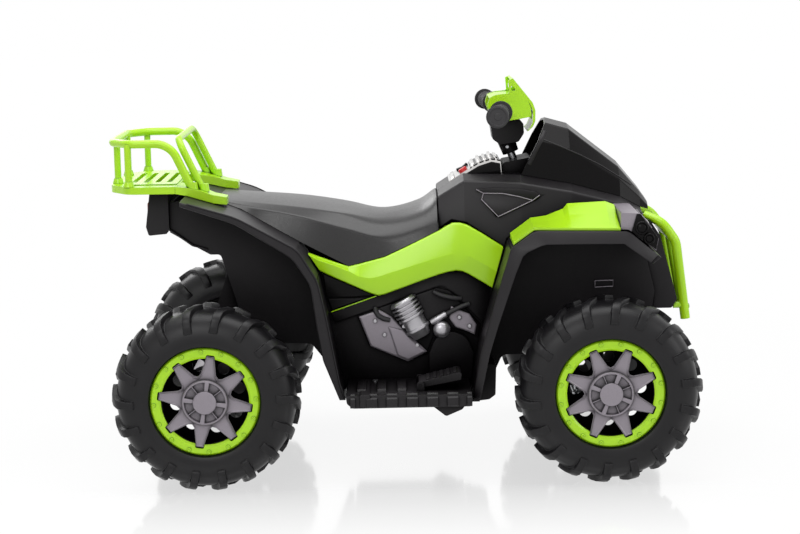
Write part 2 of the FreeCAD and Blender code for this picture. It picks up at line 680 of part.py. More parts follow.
outer = face_edges(rim.Shape, Vector(0, -1, 0)) + face_edges(rim.Shape, Vector(0, 1, 0))
fillet(fender, rim, outer, "Sizes.fender_edge")

# Front fenders.
mudguard = keep(new_body("front_fender_right"))
skin_low = blend(front_lip_top, front_lip_low, 0.25)
FLIP = "Sizes.front_fender_width / 2"
pad(mudguard, side_sketch(mudguard, [band(front_lip_top[:4], skin_low[:4])], INNER), f"{FLIP} - ({INNER})")
pad(mudguard, side_sketch(mudguard, [band(front_lip_top[3:], skin_low[3:])], TUB), f"{FLIP} - ({TUB})")
toe = [mid(123.5, -34, 4), mid(158, -30, 4), mid(170, -21, 4), mid(172, 38, 6), mid(135.5, 43, 6)]
pad(mudguard, side_sketch(mudguard, [rounded(toe)], INNER + " + 4"), "76")
rim = pad(mudguard, side_sketch(mudguard, [band(front_lip_top, front_lip_low)], f"{FLIP} - Sizes.fender_lip"),
          "Sizes.fender_lip")
doc.recompute()
fillet(mudguard, rim, face_edges(rim.Shape, Vector(0, -1, 0)), "Sizes.fender_edge / 2")
keep(mirrored(mudguard, "front_fender_left"))

# Fender trims, laid through cross-sections.
trim = keep(new_body("fender_trim_right"))
outer_y = -(size("front_fender_width") / 2 - 6.0)
inner_y = -(half_well + 17.0)
crease_y = (outer_y + inner_y) / 2 + 8.0
depth = size("trim_thickness")
sections = []
for dx, low, crease, high in ((-178, 277.6, 284, 287), (-138, 305.8, 313, 316), (-108, 304.9, 315, 320),
                              (-74, 304.1, 322, 333), (-66, 303.9, 326, 343), (8, 302.4, 330, 346),
                              (26, 302, 324, 339)):
    base = axle_z + low
    half = [(outer_y, base), (outer_y, base + 5), (crease_y, axle_z + crease), (inner_y, axle_z + high),
            (inner_y, max(axle_z + high - depth - 3, base)), (crease_y, max(axle_z + crease - depth, base))]
    sections.append(section_sketch(trim, front_axle_x + dx, half))
loft(trim, sections)
keep(mirrored(trim, "fender_trim_left"))

# Front cowl; its top line also carries the nose fairing.
cowl = keep(new_body("front_cowl"))
cowl_stations = ((mid_x + 67, 363, 52, 354, 104, 149), (mid_x + 118, 394, 60, 385, 110, 153),
                 (front_axle_x - 153, 392, 86, 379, 120, 157), (front_axle_x - 53, 374, 94, 361, 126, 158),
                 (front_axle_x + 47, 345, 86, 334, 116, 150), (front_axle_x + 89, 321, 70, 313, 98, 132))


def cowl_section(body, station, inset, floor):
    x, top, half_top, shoulder, half_shoulder, half_low = station
    half = [(-half_low + inset, axle_z + floor), (-half_shoulder + inset, axle_z + shoulder - 0.6 * inset, 8),
            (-half_top + 0.6 * inset, axle_z + top - inset, 10)]
    return section_sketch(body, x, mirrored_section(half))


loft(cowl, [cowl_section(cowl, station, 0.0, 230.0) for station in cowl_stations])
below = [mid(40, 150), mid(40, 285), mid(66, 294), mid(92, 311.6), mid(122, 306.1), mid(194, 259.4),
         front(-184, 274), front(-139, 307), front(44, 303), front(84, 302), front(120, 302), front(120, 150)]
cowl_skin = pocket(cowl, side_sketch(cowl, [rounded(below)]), "2 * Sizes.well_width", symmetric=True)
inside = list(cowl_stations)
inside[0] = (inside[0][0] + size("cowl_wall"), *inside[0][1:])
inside[-1] = (inside[-1][0] - size("cowl_wall"), *inside[-1][1:])
loft(cowl, [cowl_section(cowl, station, size("cowl_wall"), 225.0) for station in inside], "SubtractiveLoft")
scoop = rounded([mid(132, 385, 6), mid(149, 360, 8), mid(181, 313, 6), mid(258, 345, 8), mid(282, 360, 6),
                 mid(274, 368, 8), mid(227, 377, 20)])
for plane, reverse in (("Sizes.well_width / 2 - 10 - Sizes.scoop_depth", True),
                       ("-(Sizes.well_width / 2 - 10 - Sizes.scoop_depth)", False)):
    pocket(cowl, side_sketch(cowl, [scoop], plane), "80", reverse=reverse)
collar_line = [mid(197.4, 384), mid(198.4, 413, 6), mid(258, 424, 6), mid(268, 376)]
pad(cowl, side_sketch(cowl, [rounded(collar_line)]), "96", symmetric=True)
dash_low = mid(90, 379)
dash_high = mid(150, 415)
dash_line = [dash_low, (*dash_high, 10), mid(176, 422.5, 8), mid(194, 419, 6), mid(196, 392), mid(150, 386),
             mid(104, 362)]
DASH = "112"
dash_seat = [dash_low, mid(90, 460), mid(196, 460), *dash_line[4:]]
pocket(cowl, side_sketch(cowl, [rounded(dash_seat)]), f"{DASH} + 2 * Sizes.fit_gap", symmetric=True)
doc.recompute()
column_hole = Part.makeCylinder(size("column_diameter") / 2 + 0.5, 900, column_foot, column_up)
bored = doc.addObject("Part::Feature", "column_way")
bored.Shape = column_hole
cut = doc.addObject("Part::Cut", "front_cowl_bored")
cut.Base = cowl
cut.Tool = bored
pieces.remove(cowl)
cowl.Label = "cowl_moulding"
cut.Label = "front_cowl"
keep(cut)

# Nose fairing.
nose = keep(new_body("nose_fairing"))
nose_stations = ((front_axle_x - 153, 392, 84, 470, 88, 508, 58, 515),
                 (front_axle_x - 53, 374, 92, 441, 88, 479, 56, 487),
                 (front_axle_x + 47, 345, 84, 378, 76, 401, 48, 408.5),
                 (front_axle_x + 89, 321, 66, 340, 62, 352, 42, 357.5),
                 (front_axle_x + 106, 315, 54, 322, 52, 329, 38, 333))


def nose_section(body, station, inset, drop):
    x, low, half_low, crease, half_crease, top, half_top, ridge = station
    half = [(-half_low + inset, axle_z + low + gap - drop),
            (-half_crease + inset, axle_z + crease - 0.3 * inset, 6),
            (-half_top + 0.6 * inset, axle_z + top - inset, 10), (0, axle_z + ridge - inset)]
    return section_sketch(body, x, mirrored_section(half))


loft(nose, [nose_section(nose, station, 0.0, 0.0) for station in nose_stations])
inside = list(nose_stations)
inside[-1] = (inside[-1][0] - 5.0, *inside[-1][1:])
inside[0] = (inside[0][0] - 1.0, *inside[0][1:])
loft(nose, [nose_section(nose, station, size("nose_wall"), 4.0) for station in inside], "SubtractiveLoft")
behind = [front(-190, 380), front(-150, 392), front(-92, 508, 4), front(-84, 560), front(-190, 560)]
nose.Tip = pocket(nose, side_sketch(nose, [rounded(behind)]), "2 * Sizes.well_width", symmetric=True)

# Headlight housings and lenses.
housing = new_body("headlight_moulding")
lamp_line = [front(27, 336, 3), front(62, 334, 6), front(99, 286, 6), front(94, 262), front(42, 303),
             front(27, 304)]
LAMP = "Sizes.grille_width / 2 + 2"
pad(housing, side_sketch(housing, [rounded(lamp_line)], LAMP), f"{FLIP} - 8 - ({LAMP})")
low_corner = Vector(front_axle_x + 99, 0, axle_z + 286)
high_corner = Vector(front_axle_x + 62, 0, axle_z + 334)
lamp_face = (low_corner + high_corner) * 0.5
lamp_way = Vector(high_corner.z - low_corner.z, 0, low_corner.x - high_corner.x).normalize()
lamp_places = ((half_well + 20.0, size("lens_diameter")), (half_well + 68.0, size("small_lens_diameter")))
doc.recompute()
housing_shape = housing.Shape.cut(cowl_skin.Shape)
housing_shape = max(housing_shape.Solids, key=lambda item: item.Volume)
lens_shapes = []
for lamp_y, width in lamp_places:
    centre = lamp_face + Vector(0, -lamp_y, 0)
    lens_way = Part.makeCylinder(width / 2 + gap, 40, centre - lamp_way * 10, lamp_way)
    housing_shape = housing_shape.cut(lens_way)
    drum = Part.makeCylinder(width / 2, 12, centre - lamp_way * 9.6, lamp_way)
    ball = Part.makeSphere(width * 0.75, centre + lamp_way * (5.0 - width * 0.75))
    bulge = ball.common(Part.makeCylinder(width / 2, 60, centre, lamp_way))
    lens_shapes.append(drum.fuse(bulge).removeSplitter())
flip = FreeCAD.Matrix()
flip.scale(1, -1, 1)
housings = [housing_shape, housing_shape.transformGeometry(flip)]
lenses = lens_shapes + [item.transformGeometry(flip) for item in lens_shapes]
keep(feature("headlight_housings", Part.makeCompound(housings)))
keep(feature("headlight_lenses", Part.makeCompound(lenses)))

# Front grille with its slots.
grille = keep(new_body("front_grille"))
grille_line = [front(91, 300, 4), front(103, 300, 6), front(124, 268, 10), front(158, 140, 10),
               front(147, 122, 6), front(109, 122), front(112.4, 158), front(93.4, 238), front(81.4, 270.2)]
pad(grille, side_sketch(grille, [rounded(grille_line)]), "Sizes.grille_width", symmetric=True)
slots = []
for step in range(4):
    low = axle_z + 150 + 27.0 * step
    half_slot = 78.0 - 7.0 * step
    slots.append(box_outline(-half_slot, low, half_slot, low + 13, 6))
grille_slots = sketch(grille, "YZ_Plane", slots, offset=f"{FRONT_X} + 250")
pocket(grille, grille_slots, "118")

# Bumper of bent tubes.
half_bumper = size("bumper_width") / 2
nose_tube = size("front_overhang") - size("bumper_tube") / 2
bumper_tubes = []
for sign in (-1, 1):
    run = [(front_axle_x + 97, sign * (half_bumper - 20), axle_z + 305),
           (front_axle_x + 130, sign * half_bumper, axle_z + 293, 40),
           (front_axle_x + 157, sign * half_bumper, axle_z + 254, 40),
           (front_axle_x + nose_tube, sign * half_bumper, axle_z + 98)]
    bumper_tubes.append(tube(run, size("bumper_tube")))
    inner = [(front_axle_x + 149, sign * half_bumper * 0.5, axle_z + 262),
             (front_axle_x + nose_tube - 3, sign * half_bumper * 0.5, axle_z + 122)]
    bumper_tubes.append(tube(inner, size("bumper_tube") - 4))
    stay = [(front_axle_x + nose_tube, sign * half_bumper, axle_z + 126),
            (front_axle_x + 152, sign * half_bumper, axle_z + 126)]
    bumper_tubes.append(tube(stay, size("bumper_tube") - 5))
for place, height, trimmed in ((148, 264, 2), (nose_tube - 1, 122, 0)):
    run = [(front_axle_x + place, -half_bumper, axle_z + height),
           (front_axle_x + place, half_bumper, axle_z + height)]
    bumper_tubes.append(tube(run, size("bumper_tube") - trimmed))
bumper_shape = bumper_tubes[0].multiFuse(bumper_tubes[1:]).removeSplitter()
doc.recompute()
bumper_shape = bumper_shape.cut(grille.Shape)
keep(feature("front_bumper", max(bumper_shape.Solids, key=lambda item: item.Volume)))

# Rack deck with its two forward arms.
rack = keep(new_body("rack_deck"))
half_rack = size("rack_width") / 2
rack_end = rear_axle_x - size("rear_overhang")
deck_front = rear_axle_x - 58.0
deck_low = 375.5
plan = [(deck_front, -half_rack, 6), (deck_front, half_rack, 6), (rack_end + 42, half_rack, 34),
        (rack_end + 2, half_rack * 0.66, 40), (rack_end + 2, -half_rack * 0.66, 40),
        (rack_end + 42, -half_rack, 34)]
deck_plan = sketch(rack, "XY_Plane", [rounded(plan)], offset=f"{AXLE_Z} + {deck_low}")
pad(rack, deck_plan, "Sizes.rack_thickness")
for sign in (-1, 1):
    runs = []
    for dx, low, high, near, far in ((-61, deck_low, deck_low + size("rack_thickness"), 0.50, 1.0),
                                     (-40, 371.4, 387.0, 0.50, 1.0), (-12, 363.0, 381.0, 0.62, 1.0),
                                     (12, 355.6, 372.0, 0.70, 1.0), (38, 352.0, 367.0, 0.74, 0.97)):
        inner = sign * near * half_rack
        outer = sign * far * half_rack
        runs.append(section_sketch(rack, rear_axle_x + dx, [(inner, axle_z + low), (outer, axle_z + low),
                                                            (outer, axle_z + high), (inner, axle_z + high)]))
    loft(rack, runs)
deck_top = axle_z + deck_low + size("rack_thickness")
load_plan = sketch(rack, "XY_Plane", [box_outline(rack_end + 30, -126, deck_front - 4, 126, 6)],
                   offset=f"{AXLE_Z} + {deck_low} + Sizes.rack_thickness - 1")
pad(rack, load_plan, "Sizes.load_pad + 1")
slats = []
for step in range(4):
    left = rack_end + 40.0 + 23.0 * step
    slats.append(box_outline(left, -half_rack * 0.55, left + 10, half_rack * 0.55, 4))
rack.Tip = pocket(rack, sketch(rack, "XY_Plane", slats, offset=f"{AXLE_Z} + {deck_low + 40}"), "60")
doc.recompute()

# Rack rails: the rear rail on its posts and the hoop in front of it.
rail_d = size("rail_tube")
rail_y = half_rack - rail_d / 2 - 4.0
rail_z = deck_top + size("rail_height") - rail_d / 2
rail_back = rack_end + rail_d / 2
rail_foot = rear_axle_x - 28.0
rail_low = deck_top - 9.0
half_rail = []
for sign in (-1, 1):
    half_rail.append([(rail_foot, sign * rail_y, rail_low), (rail_foot - 42, sign * rail_y, rail_z, 46),
                      (rail_back + 38, sign * rail_y, rail_z, 30),
                      (rail_back, sign * rail_y * 0.68, rail_z, 30)])
rail_runs = [tube(half_rail[0] + list(reversed(half_rail[1])), rail_d)]
for sign in (-1, 1):
    for post_x, post_y in ((rack_end + 43, rail_y), (rail_back + 4, rail_y * 0.5)):
        post = Vector(post_x, sign * post_y, deck_top)
        rail_runs.append(rod(post, Vector(post_x, sign * post_y, rail_z), rail_d - 3))
        rail_runs.append(Part.makeCone(rail_d / 2 + 3, rail_d / 2, 10, post))
hoop_y = rail_y - 10.0
hoop_foot = rear_axle_x - 7.0
hoop_top = rear_axle_x - 55.0
hoop_z = rail_z + 7.0
hoop_run = []
for sign in (-1, 1):
    hoop_run.append([(hoop_foot, sign * hoop_y, deck_top - 14.0), (hoop_top, sign * hoop_y, hoop_z, 26)])
rail_runs.append(tube(hoop_run[0] + list(reversed(hoop_run[1])), rail_d - 2))
for sign in (-1, 1):
    for foot_x, foot_y, foot_z in ((rail_foot, rail_y, deck_top - 8.0), (hoop_foot, hoop_y, deck_top - 12.0)):
        foot = Vector(foot_x, sign * foot_y, foot_z)
        rail_runs.append(Part.makeCone(rail_d / 2 + 3, rail_d / 2 + 1, 15, foot))
rail_shape = rail_runs[0].multiFuse(rail_runs[1:]).cut(rack.Shape).removeSplitter()
keep(feature("rack_rails", max(rail_shape.Solids, key=lambda item: item.Volume)))

# Tail panel and tail lamp.
tail = keep(new_body("tail_panel"))
tail_line = [rear(-80.4, 375.1), rear(-116.5, 375.1, 4), rear(-126, 306, 10), rear(-121, 289, 4),
             rear(-86, 292), rear(-80.4, 302)]
pad(tail, side_sketch(tail, [rounded(tail_line)]), "Sizes.tail_width", symmetric=True)
half_lamp = size("tail_width") / 2 - 26.0
lamp_low = axle_z + 316
lamp_high = axle_z + 352
lamp_hole = box_outline(-half_lamp, lamp_low, half_lamp, lamp_high, 8)
pocket(tail, sketch(tail, "YZ_Plane", [lamp_hole], offset=f"{REAR_X} - 114"), "60")
lamp = keep(new_body("tail_lamp"))
lamp_outline = box_outline(-half_lamp + gap, lamp_low + gap, half_lamp - gap, lamp_high - gap, 8)
lens_pad = pad(lamp, sketch(lamp, "YZ_Plane", [lamp_outline], offset=f"{REAR_X} - 114 - Sizes.fit_gap"), "11",
               reverse=True)
doc.recompute()
fillet(lamp, lens_pad, face_edges(lens_pad.Shape, Vector(-1, 0, 0)), "2.5")

# Dash panel with the start button and the direction switch.
dash = new_body("dash_moulding")
pad(dash, side_sketch(dash, [rounded(dash_line)]), DASH, symmetric=True)
doc.recompute()
dash_slope = math.atan2(dash_high[1] - dash_low[1], dash_high[0] - dash_low[0])
dash_way = Vector(-math.sin(dash_slope), 0, math.cos(dash_slope))
dash_mid = Vector((dash_low[0] + dash_high[0]) / 2, 0, (dash_low[1] + dash_high[1]) / 2)
button_r = size("button_diameter") / 2
button_centre = dash_mid + Vector(0, -28, 0)
switch_centre = dash_mid + Vector(0, 28, 0)
well = Part.makeCylinder(button_r + 0.3, 30, button_centre - dash_way * 7, dash_way)
half_rocker = size("rocker_length") / 2
turn_to_dash = Rotation(Vector(0, 1, 0), -math.degrees(dash_slope))
rocker_well = Part.makeBox(2 * half_rocker + 1.2, 15.0, 30.0, Vector(-half_rocker - 0.6, -7.5, -8.0))
rocker_well.Placement = Placement(switch_centre, turn_to_dash)
keep(feature("dash_panel", dash.Shape.cut(well).cut(rocker_well)))
button = Part.makeCylinder(button_r, 9.0, button_centre - dash_way * 3.4, dash_way)
keep(feature("start_button", button.makeFillet(1.5, [button.Edges[0]])))
rocker_face = Part.Face(Part.Wire([item.toShape() for item in rounded([
    (-half_rocker, 1.0, 1), (-5, -4.6, 3), (5, -4.6, 3), (half_rocker, 1.0, 1), (half_rocker - 1, 4.4, 1),
    (0, 2.2),
    (-half_rocker + 1, 4.4, 1)])]))
rocker_face.rotate(Vector(), Vector(1, 0, 0), 90)
rocker = rocker_face.extrude(Vector(0, 14.0, 0))
rocker.translate(Vector(0, -7.0, 0))
rocker.Placement = Placement(switch_centre, turn_to_dash).multiply(rocker.Placement)
keep(feature("direction_switch", rocker))

# Steering column: a straight rod cranked at its foot.
column_d = size("column_diameter")
crank_top = on_column(axle_z + 30.0)
knee = crank_top + column_back * arm
bar_centre = on_column(axle_z + 521.0) + Vector(14.0, 0, 0)
column_top = on_column(axle_z + 501.0)
foot = knee - column_up * ((knee.z - (pin_z - 9.0)) / column_up.z)
column_shape = rod(crank_top - column_up * 5.0, column_top, column_d)
crank_arm = rod(crank_top - column_back * 2.0, knee, 13.0)
crank_ball = Part.makeSphere(6.5, knee)
crank_pin = rod(knee, foot, size("crank_pin"))
keep(feature("steering_column", column_shape.multiFuse([crank_arm, crank_ball, crank_pin]).removeSplitter()))

# Handlebar tube and grips.
half_bar = size("bar_width") / 2
bend_y = 84.0
sweep = math.tan(math.radians(size("bar_sweep")))
end_x = bar_centre.x - (half_bar - 3 - bend_y) * sweep
bar_z = bar_centre.z
bar_d = size("bar_diameter")
bar_run = [(end_x, -half_bar + 3, bar_z), (bar_centre.x, -bend_y, bar_z, 60),
           (bar_centre.x, bend_y, bar_z, 60), (end_x, half_bar - 3, bar_z)]
bar_shape = tube(bar_run, bar_d)
bar_shape = bar_shape.cut(Part.makeCylinder(3.2, 80, Vector(bar_centre.x, 0, bar_z - 40)))
keep(feature("handlebar_tube", bar_shape))
grip_out = Vector(end_x - bar_centre.x, -(half_bar - 3 - bend_y), 0).normalize()
grip_end = Vector(end_x, -half_bar + 3, bar_z)
grip_d = bar_d + 2 * size("grip_wall")
grip_start = grip_end - grip_out * size("grip_length")
grip_parts = [rod(grip_start, grip_end + grip_out * 3.0, grip_d),
              rod(grip_start - grip_out * 5.0, grip_start, grip_d + 13),
              rod(grip_end - grip_out * 3.0, grip_end + grip_out * 3.0, grip_d + 11)]
for step in range(9):
    ring_foot = grip_start + grip_out * (9.0 + 9.5 * step)
    grip_parts.append(rod(ring_foot, ring_foot + grip_out * 5.0, grip_d + 2.4))
grip_bore = rod(grip_start - grip_out * 8.0, grip_end, bar_d)
grip_shape = grip_parts[0].multiFuse(grip_parts[1:]).cut(grip_bore).removeSplitter()
grip = keep(feature("grip_right", grip_shape))
keep(mirrored(grip, "grip_left"))

# Column shroud that carries the handlebar, and its clamp bolt.
shroud_foot = on_column(axle_z + 430.0)
shroud_head = on_column(axle_z + 490.0)
riser = Part.makeCone(16.5, 20.0, (shroud_head - shroud_foot).Length, shroud_foot, column_up)
head_line = [(-18, -62, 6), (-3, -73, 8), (34, -68, 8), (45, -51, 8), (44, -32, 6), (36, -22, 6),
             (20, 14, 12), (-16, 17, 12), (-25, -10, 10)]
head_line = [(bar_centre.x + corner[0], bar_z + corner[1], corner[2]) for corner in head_line]
head_face = Part.Face(Part.Wire([item.toShape() for item in rounded(head_line)]))
head_face.rotate(Vector(), Vector(1, 0, 0), 90)
clamp = head_face.extrude(Vector(0, 64, 0))
clamp.translate(Vector(0, -32, 0))
shroud_shape = riser.fuse(clamp)
shroud_bore = rod(shroud_foot - column_up * 5.0, column_top + column_up * 0.1, column_d)
shroud_shape = shroud_shape.cut(shroud_bore).cut(tube(bar_run, bar_d))
bolt_foot = Vector(bar_centre.x, 0, bar_z - 16.0)
shroud_shape = shroud_shape.cut(Part.makeCylinder(3.2, 80, bolt_foot))
shroud_shape = shroud_shape.removeSplitter()
keep(feature("column_shroud", shroud_shape))
shroud_top = bar_z + 16.6
bolt_shank = Part.makeCylinder(3.2, shroud_top - bolt_foot.z, bolt_foot)
bolt_head = Part.makeCylinder(6.0, 4.0, Vector(bar_centre.x, 0, shroud_top))
keep(feature("column_bolt", bolt_shank.fuse(bolt_head).removeSplitter()))

# Handlebar cover: a bent mask in front of the bar with side arms that hold the tube.
half_cover = size("cover_width") / 2
mask_front = [(22, 61, 2), (38, 41, 12), (61, 12, 14), (66.5, -3, 8), (66, -25, 8), (61, -36, 6),
              (53, -43.5, 2)]
mask_front = [(bar_centre.x + corner[0], bar_z + corner[1], corner[2]) for corner in mask_front]
mask_back = [(corner[0] - 5.0, corner[1] - 3.0, *corner[2:]) for corner in reversed(mask_front)]
mask_face = Part.Face(Part.Wire([item.toShape() for item in rounded(mask_front + mask_back)]))
mask_face.rotate(Vector(), Vector(1, 0, 0), 90)
mask = mask_face.extrude(Vector(0, 2 * half_cover, 0))
mask.translate(Vector(0, -half_cover, 0))
arm_line = [(-22, -14, 12), (14, -23, 6), (36, -20, 4), (58, -16, 4), (57, 4, 6), (46, 26, 6), (18, 59, 2),
            (13, 57, 2), (15, 31, 4), (-10, 29, 8), (-24, 24, 8), (-29, 8, 10)]
arm_line = [(bar_centre.x + corner[0], bar_z + corner[1], corner[2]) for corner in arm_line]
arm_face = Part.Face(Part.Wire([item.toShape() for item in rounded(arm_line)]))
window = Part.Face(Part.Wire([item.toShape() for item in rounded([
    (bar_centre.x + 18, bar_z + 50, 2), (bar_centre.x + 19, bar_z + 36, 2),
    (bar_centre.x + 29, bar_z + 36, 2)])]))
arm_face = arm_face.cut(window)
arm_face.rotate(Vector(), Vector(1, 0, 0), 90)
arm_plate = arm_face.extrude(Vector(0, 8.0, 0))
right_arm = arm_plate.copy()
right_arm.translate(Vector(0, -half_cover, 0))
left_arm = arm_plate.copy()
left_arm.translate(Vector(0, half_cover - 8.0, 0))
mask_slots = []
for low, high, reach in ((-24.0, -10.0, 34.0), (-2.0, 10.0, 30.0)):
    mask_slots.append(solid_box(bar_centre.x + 30, -reach, bar_z + low, bar_centre.x + 90, reach,
                                bar_z + high))
roof = [(bar_centre.x - 24, bar_z + 20), (bar_centre.x - 9, bar_z + 25), (bar_centre.x + 42, bar_z + 28),
        (bar_centre.x + 42, bar_z + 31), (bar_centre.x - 10, bar_z + 28), (bar_centre.x - 25, bar_z + 23)]
roof_face = Part.Face(Part.Wire([item.toShape() for item in rounded(roof)]))
roof_face.rotate(Vector(), Vector(1, 0, 0), 90)
roof_plate = roof_face.extrude(Vector(0, 2 * half_cover, 0))
roof_plate.translate(Vector(0, -half_cover, 0))
cover_shape = mask.multiFuse([right_arm, left_arm, roof_plate])
cover_shape = cover_shape.cut(tube(bar_run, bar_d))
for opening in mask_slots:
    cover_shape = cover_shape.cut(opening)
cover_shape = cover_shape.cut(Part.makeCompound([clamp, bolt_head]))
cover_shape = max(cover_shape.removeSplitter().Solids, key=lambda item: item.Volume)
keep(feature("handlebar_cover", cover_shape))

# Front axle beam with its yokes.
kingpin_y = half_track - size("kingpin_inset")
kingpin_r = size("kingpin_diameter") / 2
beam_parts = [solid_box(front_axle_x - 13, -kingpin_y + 20, axle_z - 14, front_axle_x + 13, kingpin_y - 20,
                        axle_z + 11)]
for post_y in (-70.0, 70.0):
    beam_parts.append(solid_box(front_axle_x + 2, post_y - 15, axle_z + 5, front_axle_x + 13, post_y + 15,
                                axle_z + 35 - gap))
for sign in (-1, 1):
    yoke = sign * kingpin_y
    inner = sign * (kingpin_y - 28)
    near, far = sorted((inner, sign * (kingpin_y - 19)))
    beam_parts.append(solid_box(front_axle_x - 15, near, axle_z - 31, front_axle_x + 15, far, axle_z + 31))
    near, far = sorted((inner, yoke + sign * 12))
    for low in (-31.0, 23.0):
        ear_box = solid_box(front_axle_x - 15, near, axle_z + low, front_axle_x + 15, far, axle_z + low + 8)
        beam_parts.append(ear_box)
beam_shape = beam_parts[0].multiFuse(beam_parts[1:]).removeSplitter()
for sign in (-1, 1):
    way_foot = Vector(front_axle_x, sign * kingpin_y, axle_z - 45)
    way = Part.makeCylinder(kingpin_r + size("running_play"), 90, way_foot)
    beam_shape = beam_shape.cut(way)
keep(feature("front_axle_beam", beam_shape))

# Knuckle with its kingpin, stub axle and steering arm.
stub_r = size("axle_diameter") / 2
wheel_out = half_track + rim_face - 2.0
hub_in = half_track - half_tyre + 8.0
pin_x = front_axle_x - arm
outward = Vector(0, -1, 0)
knuckle_mid = Vector(front_axle_x, -kingpin_y, axle_z)
block = solid_box(front_axle_x - 13, -kingpin_y - 12, axle_z - 22.6, front_axle_x + 13, -kingpin_y + 12,
                  axle_z + 22.6)
kingpin = Part.makeCylinder(kingpin_r, 66, Vector(front_axle_x, -kingpin_y, axle_z - 33))
collar = Part.makeCylinder(13, hub_in - 0.6 - kingpin_y, knuckle_mid, outward)
stub = Part.makeCylinder(stub_r, wheel_out + 1.0 - kingpin_y, knuckle_mid, outward)
lever = solid_box(pin_x, -kingpin_y - 8, pin_z + 8, front_axle_x, -kingpin_y + 8, pin_z + 16)
lever_end = Part.makeCylinder(8, 8, Vector(pin_x, -kingpin_y, pin_z + 8))
lever_pin = Part.makeCylinder(4, 22, Vector(pin_x, -kingpin_y, pin_z - 8))
knuckle_shape = block.multiFuse([kingpin, collar, stub, lever, lever_end, lever_pin]).removeSplitter()
knuckle = keep(feature("knuckle_right", knuckle_shape))
keep(mirrored(knuckle, "knuckle_left"))

# Tie rod: a flat bar with an eye at each end and a slot for the crank pin.
rod_parts = [solid_box(pin_x - 9, -kingpin_y, pin_z - 2.5, pin_x + 9, kingpin_y, pin_z + 2.5)]
rod_parts.append(solid_box(pin_x - 18, -20, pin_z - 2.5, pin_x + 18, 20, pin_z + 2.5))
for sign in (-1, 1):
    rod_parts.append(Part.makeCylinder(11, 5, Vector(pin_x, sign * kingpin_y, pin_z - 2.5)))
tie_shape = rod_parts[0].multiFuse(rod_parts[1:]).removeSplitter()
for sign in (-1, 1):
    eye = Part.makeCylinder(4 + size("running_play"), 20, Vector(pin_x, sign * kingpin_y, pin_z - 10))
    tie_shape = tie_shape.cut(eye)
half_pin_slot = size("crank_pin") / 2 + 0.8
pin_way = solid_box(pin_x - 12, -half_pin_slot, pin_z - 9, pin_x + 12, half_pin_slot, pin_z + 9)
tie_shape = tie_shape.cut(pin_way)
keep(feature("tie_rod", tie_shape))

# Rear axle, gearboxes and motors.
axle_end = half_track + rim_face - 2.0
inward = Vector(0, 1, 0)
shaft = Part.makeCylinder(stub_r, 2 * axle_end + 2, Vector(rear_axle_x, -axle_end - 1, axle_z), inward)
keep(feature("rear_axle", shaft))
box_in = 97.0
box_out = hub_in - 0.6
case_line = [rear(-44, -40, 30), rear(34, -44, 30), rear(92, 0, 30), rear(92, 58, 26), rear(40, 62, 24),
             rear(-40, 38, 30)]
case_face = Part.Face(Part.Wire([item.toShape() for item in rounded(case_line)]))
case_face.rotate(Vector(), Vector(1, 0, 0), 90)
case = case_face.extrude(Vector(0, -(box_out - box_in - 14), 0))
case.translate(Vector(0, -box_in, 0))
boss = Part.makeCylinder(20, box_out - box_in - 10, Vector(rear_axle_x, -box_in - 10, axle_z), outward)
axle_way = Part.makeCylinder(stub_r + 0.02, 400, Vector(rear_axle_x, 0, axle_z), outward)
case = case.fuse(boss).cut(axle_way).removeSplitter()
motor_foot = Vector(motor_x, -box_in + gap, motor_z)
can = Part.makeCylinder(size("motor_diameter") / 2, size("motor_length"), motor_foot, inward)
nub = Part.makeCylinder(8, 7, motor_foot + inward * size("motor_length"), inward)
motor = can.fuse(nub).removeSplitter()
keep(feature("gearboxes", Part.makeCompound([case, case.transformGeometry(flip)])))
keep(feature("motors", Part.makeCompound([motor, motor.transformGeometry(flip)])))

# Battery and control box on the floor of the tub.
floor_z = axle_z - 15.0
battery_x = mid_x - 112.0
battery = solid_box(battery_x, -size("battery_width") / 2, floor_z, battery_x + size("battery_length"),
                    size("battery_width") / 2, floor_z + size("battery_height"))
posts = []
for sign in (-1, 1):
    posts.append(solid_box(battery_x + 12, sign * 30 - 5, floor_z + size("battery_height"), battery_x + 22,
                           sign * 30 + 5, floor_z + size("battery_height") + 7))
keep(feature("battery", battery.multiFuse(posts).removeSplitter()))
controller = solid_box(mid_x + 46, -45, floor_z, mid_x + 126, 45, floor_z + 32)
upper_edges = [edge for edge in controller.Edges if edge.BoundBox.ZMin > floor_z + 1]
keep(feature("control_box", controller.makeFillet(4, upper_edges)))

# Body screws, two through each footboard.
screws = []
for x in (-63.5, 88.5):
    for sign in (-1, 1):
        foot_point = Vector(mid_x + x, sign * (half_well + 24.0), axle_z - 2)
        screws.append(Part.makeCylinder(6, 2.5, foot_point))
keep(feature("body_screws", Part.makeCompound(screws)))

doc.recompute()
broken = [item.Label for item in doc.Objects if "Invalid" in item.State or "Error" in item.State]
if broken:
    raise RuntimeError("not built: " + ", ".join(broken))
os.makedirs("parts", exist_ok=True)
for piece in pieces:
    if piece.Shape.isNull() or not piece.Shape.isValid():
        raise RuntimeError("bad shape: " + piece.Label)
    piece.Shape.exportStep(f"parts/{piece.Label}.step")
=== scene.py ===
# %% [markdown]
# # A child's electric quad bike
# The quad bike is a ride-on toy of moulded plastic panels on a hollow tub, with four foam-tyred wheels.
# Its solids are already built to size, so this lesson sets up the studio, mixes the finishes, and then
# models the pieces whose surface the solids only give in outline: tyres, hub caps, creased panels and trim.

# %% Load the frame
import json
import math
import bmesh
import bpy
from mathutils import Matrix, Vector


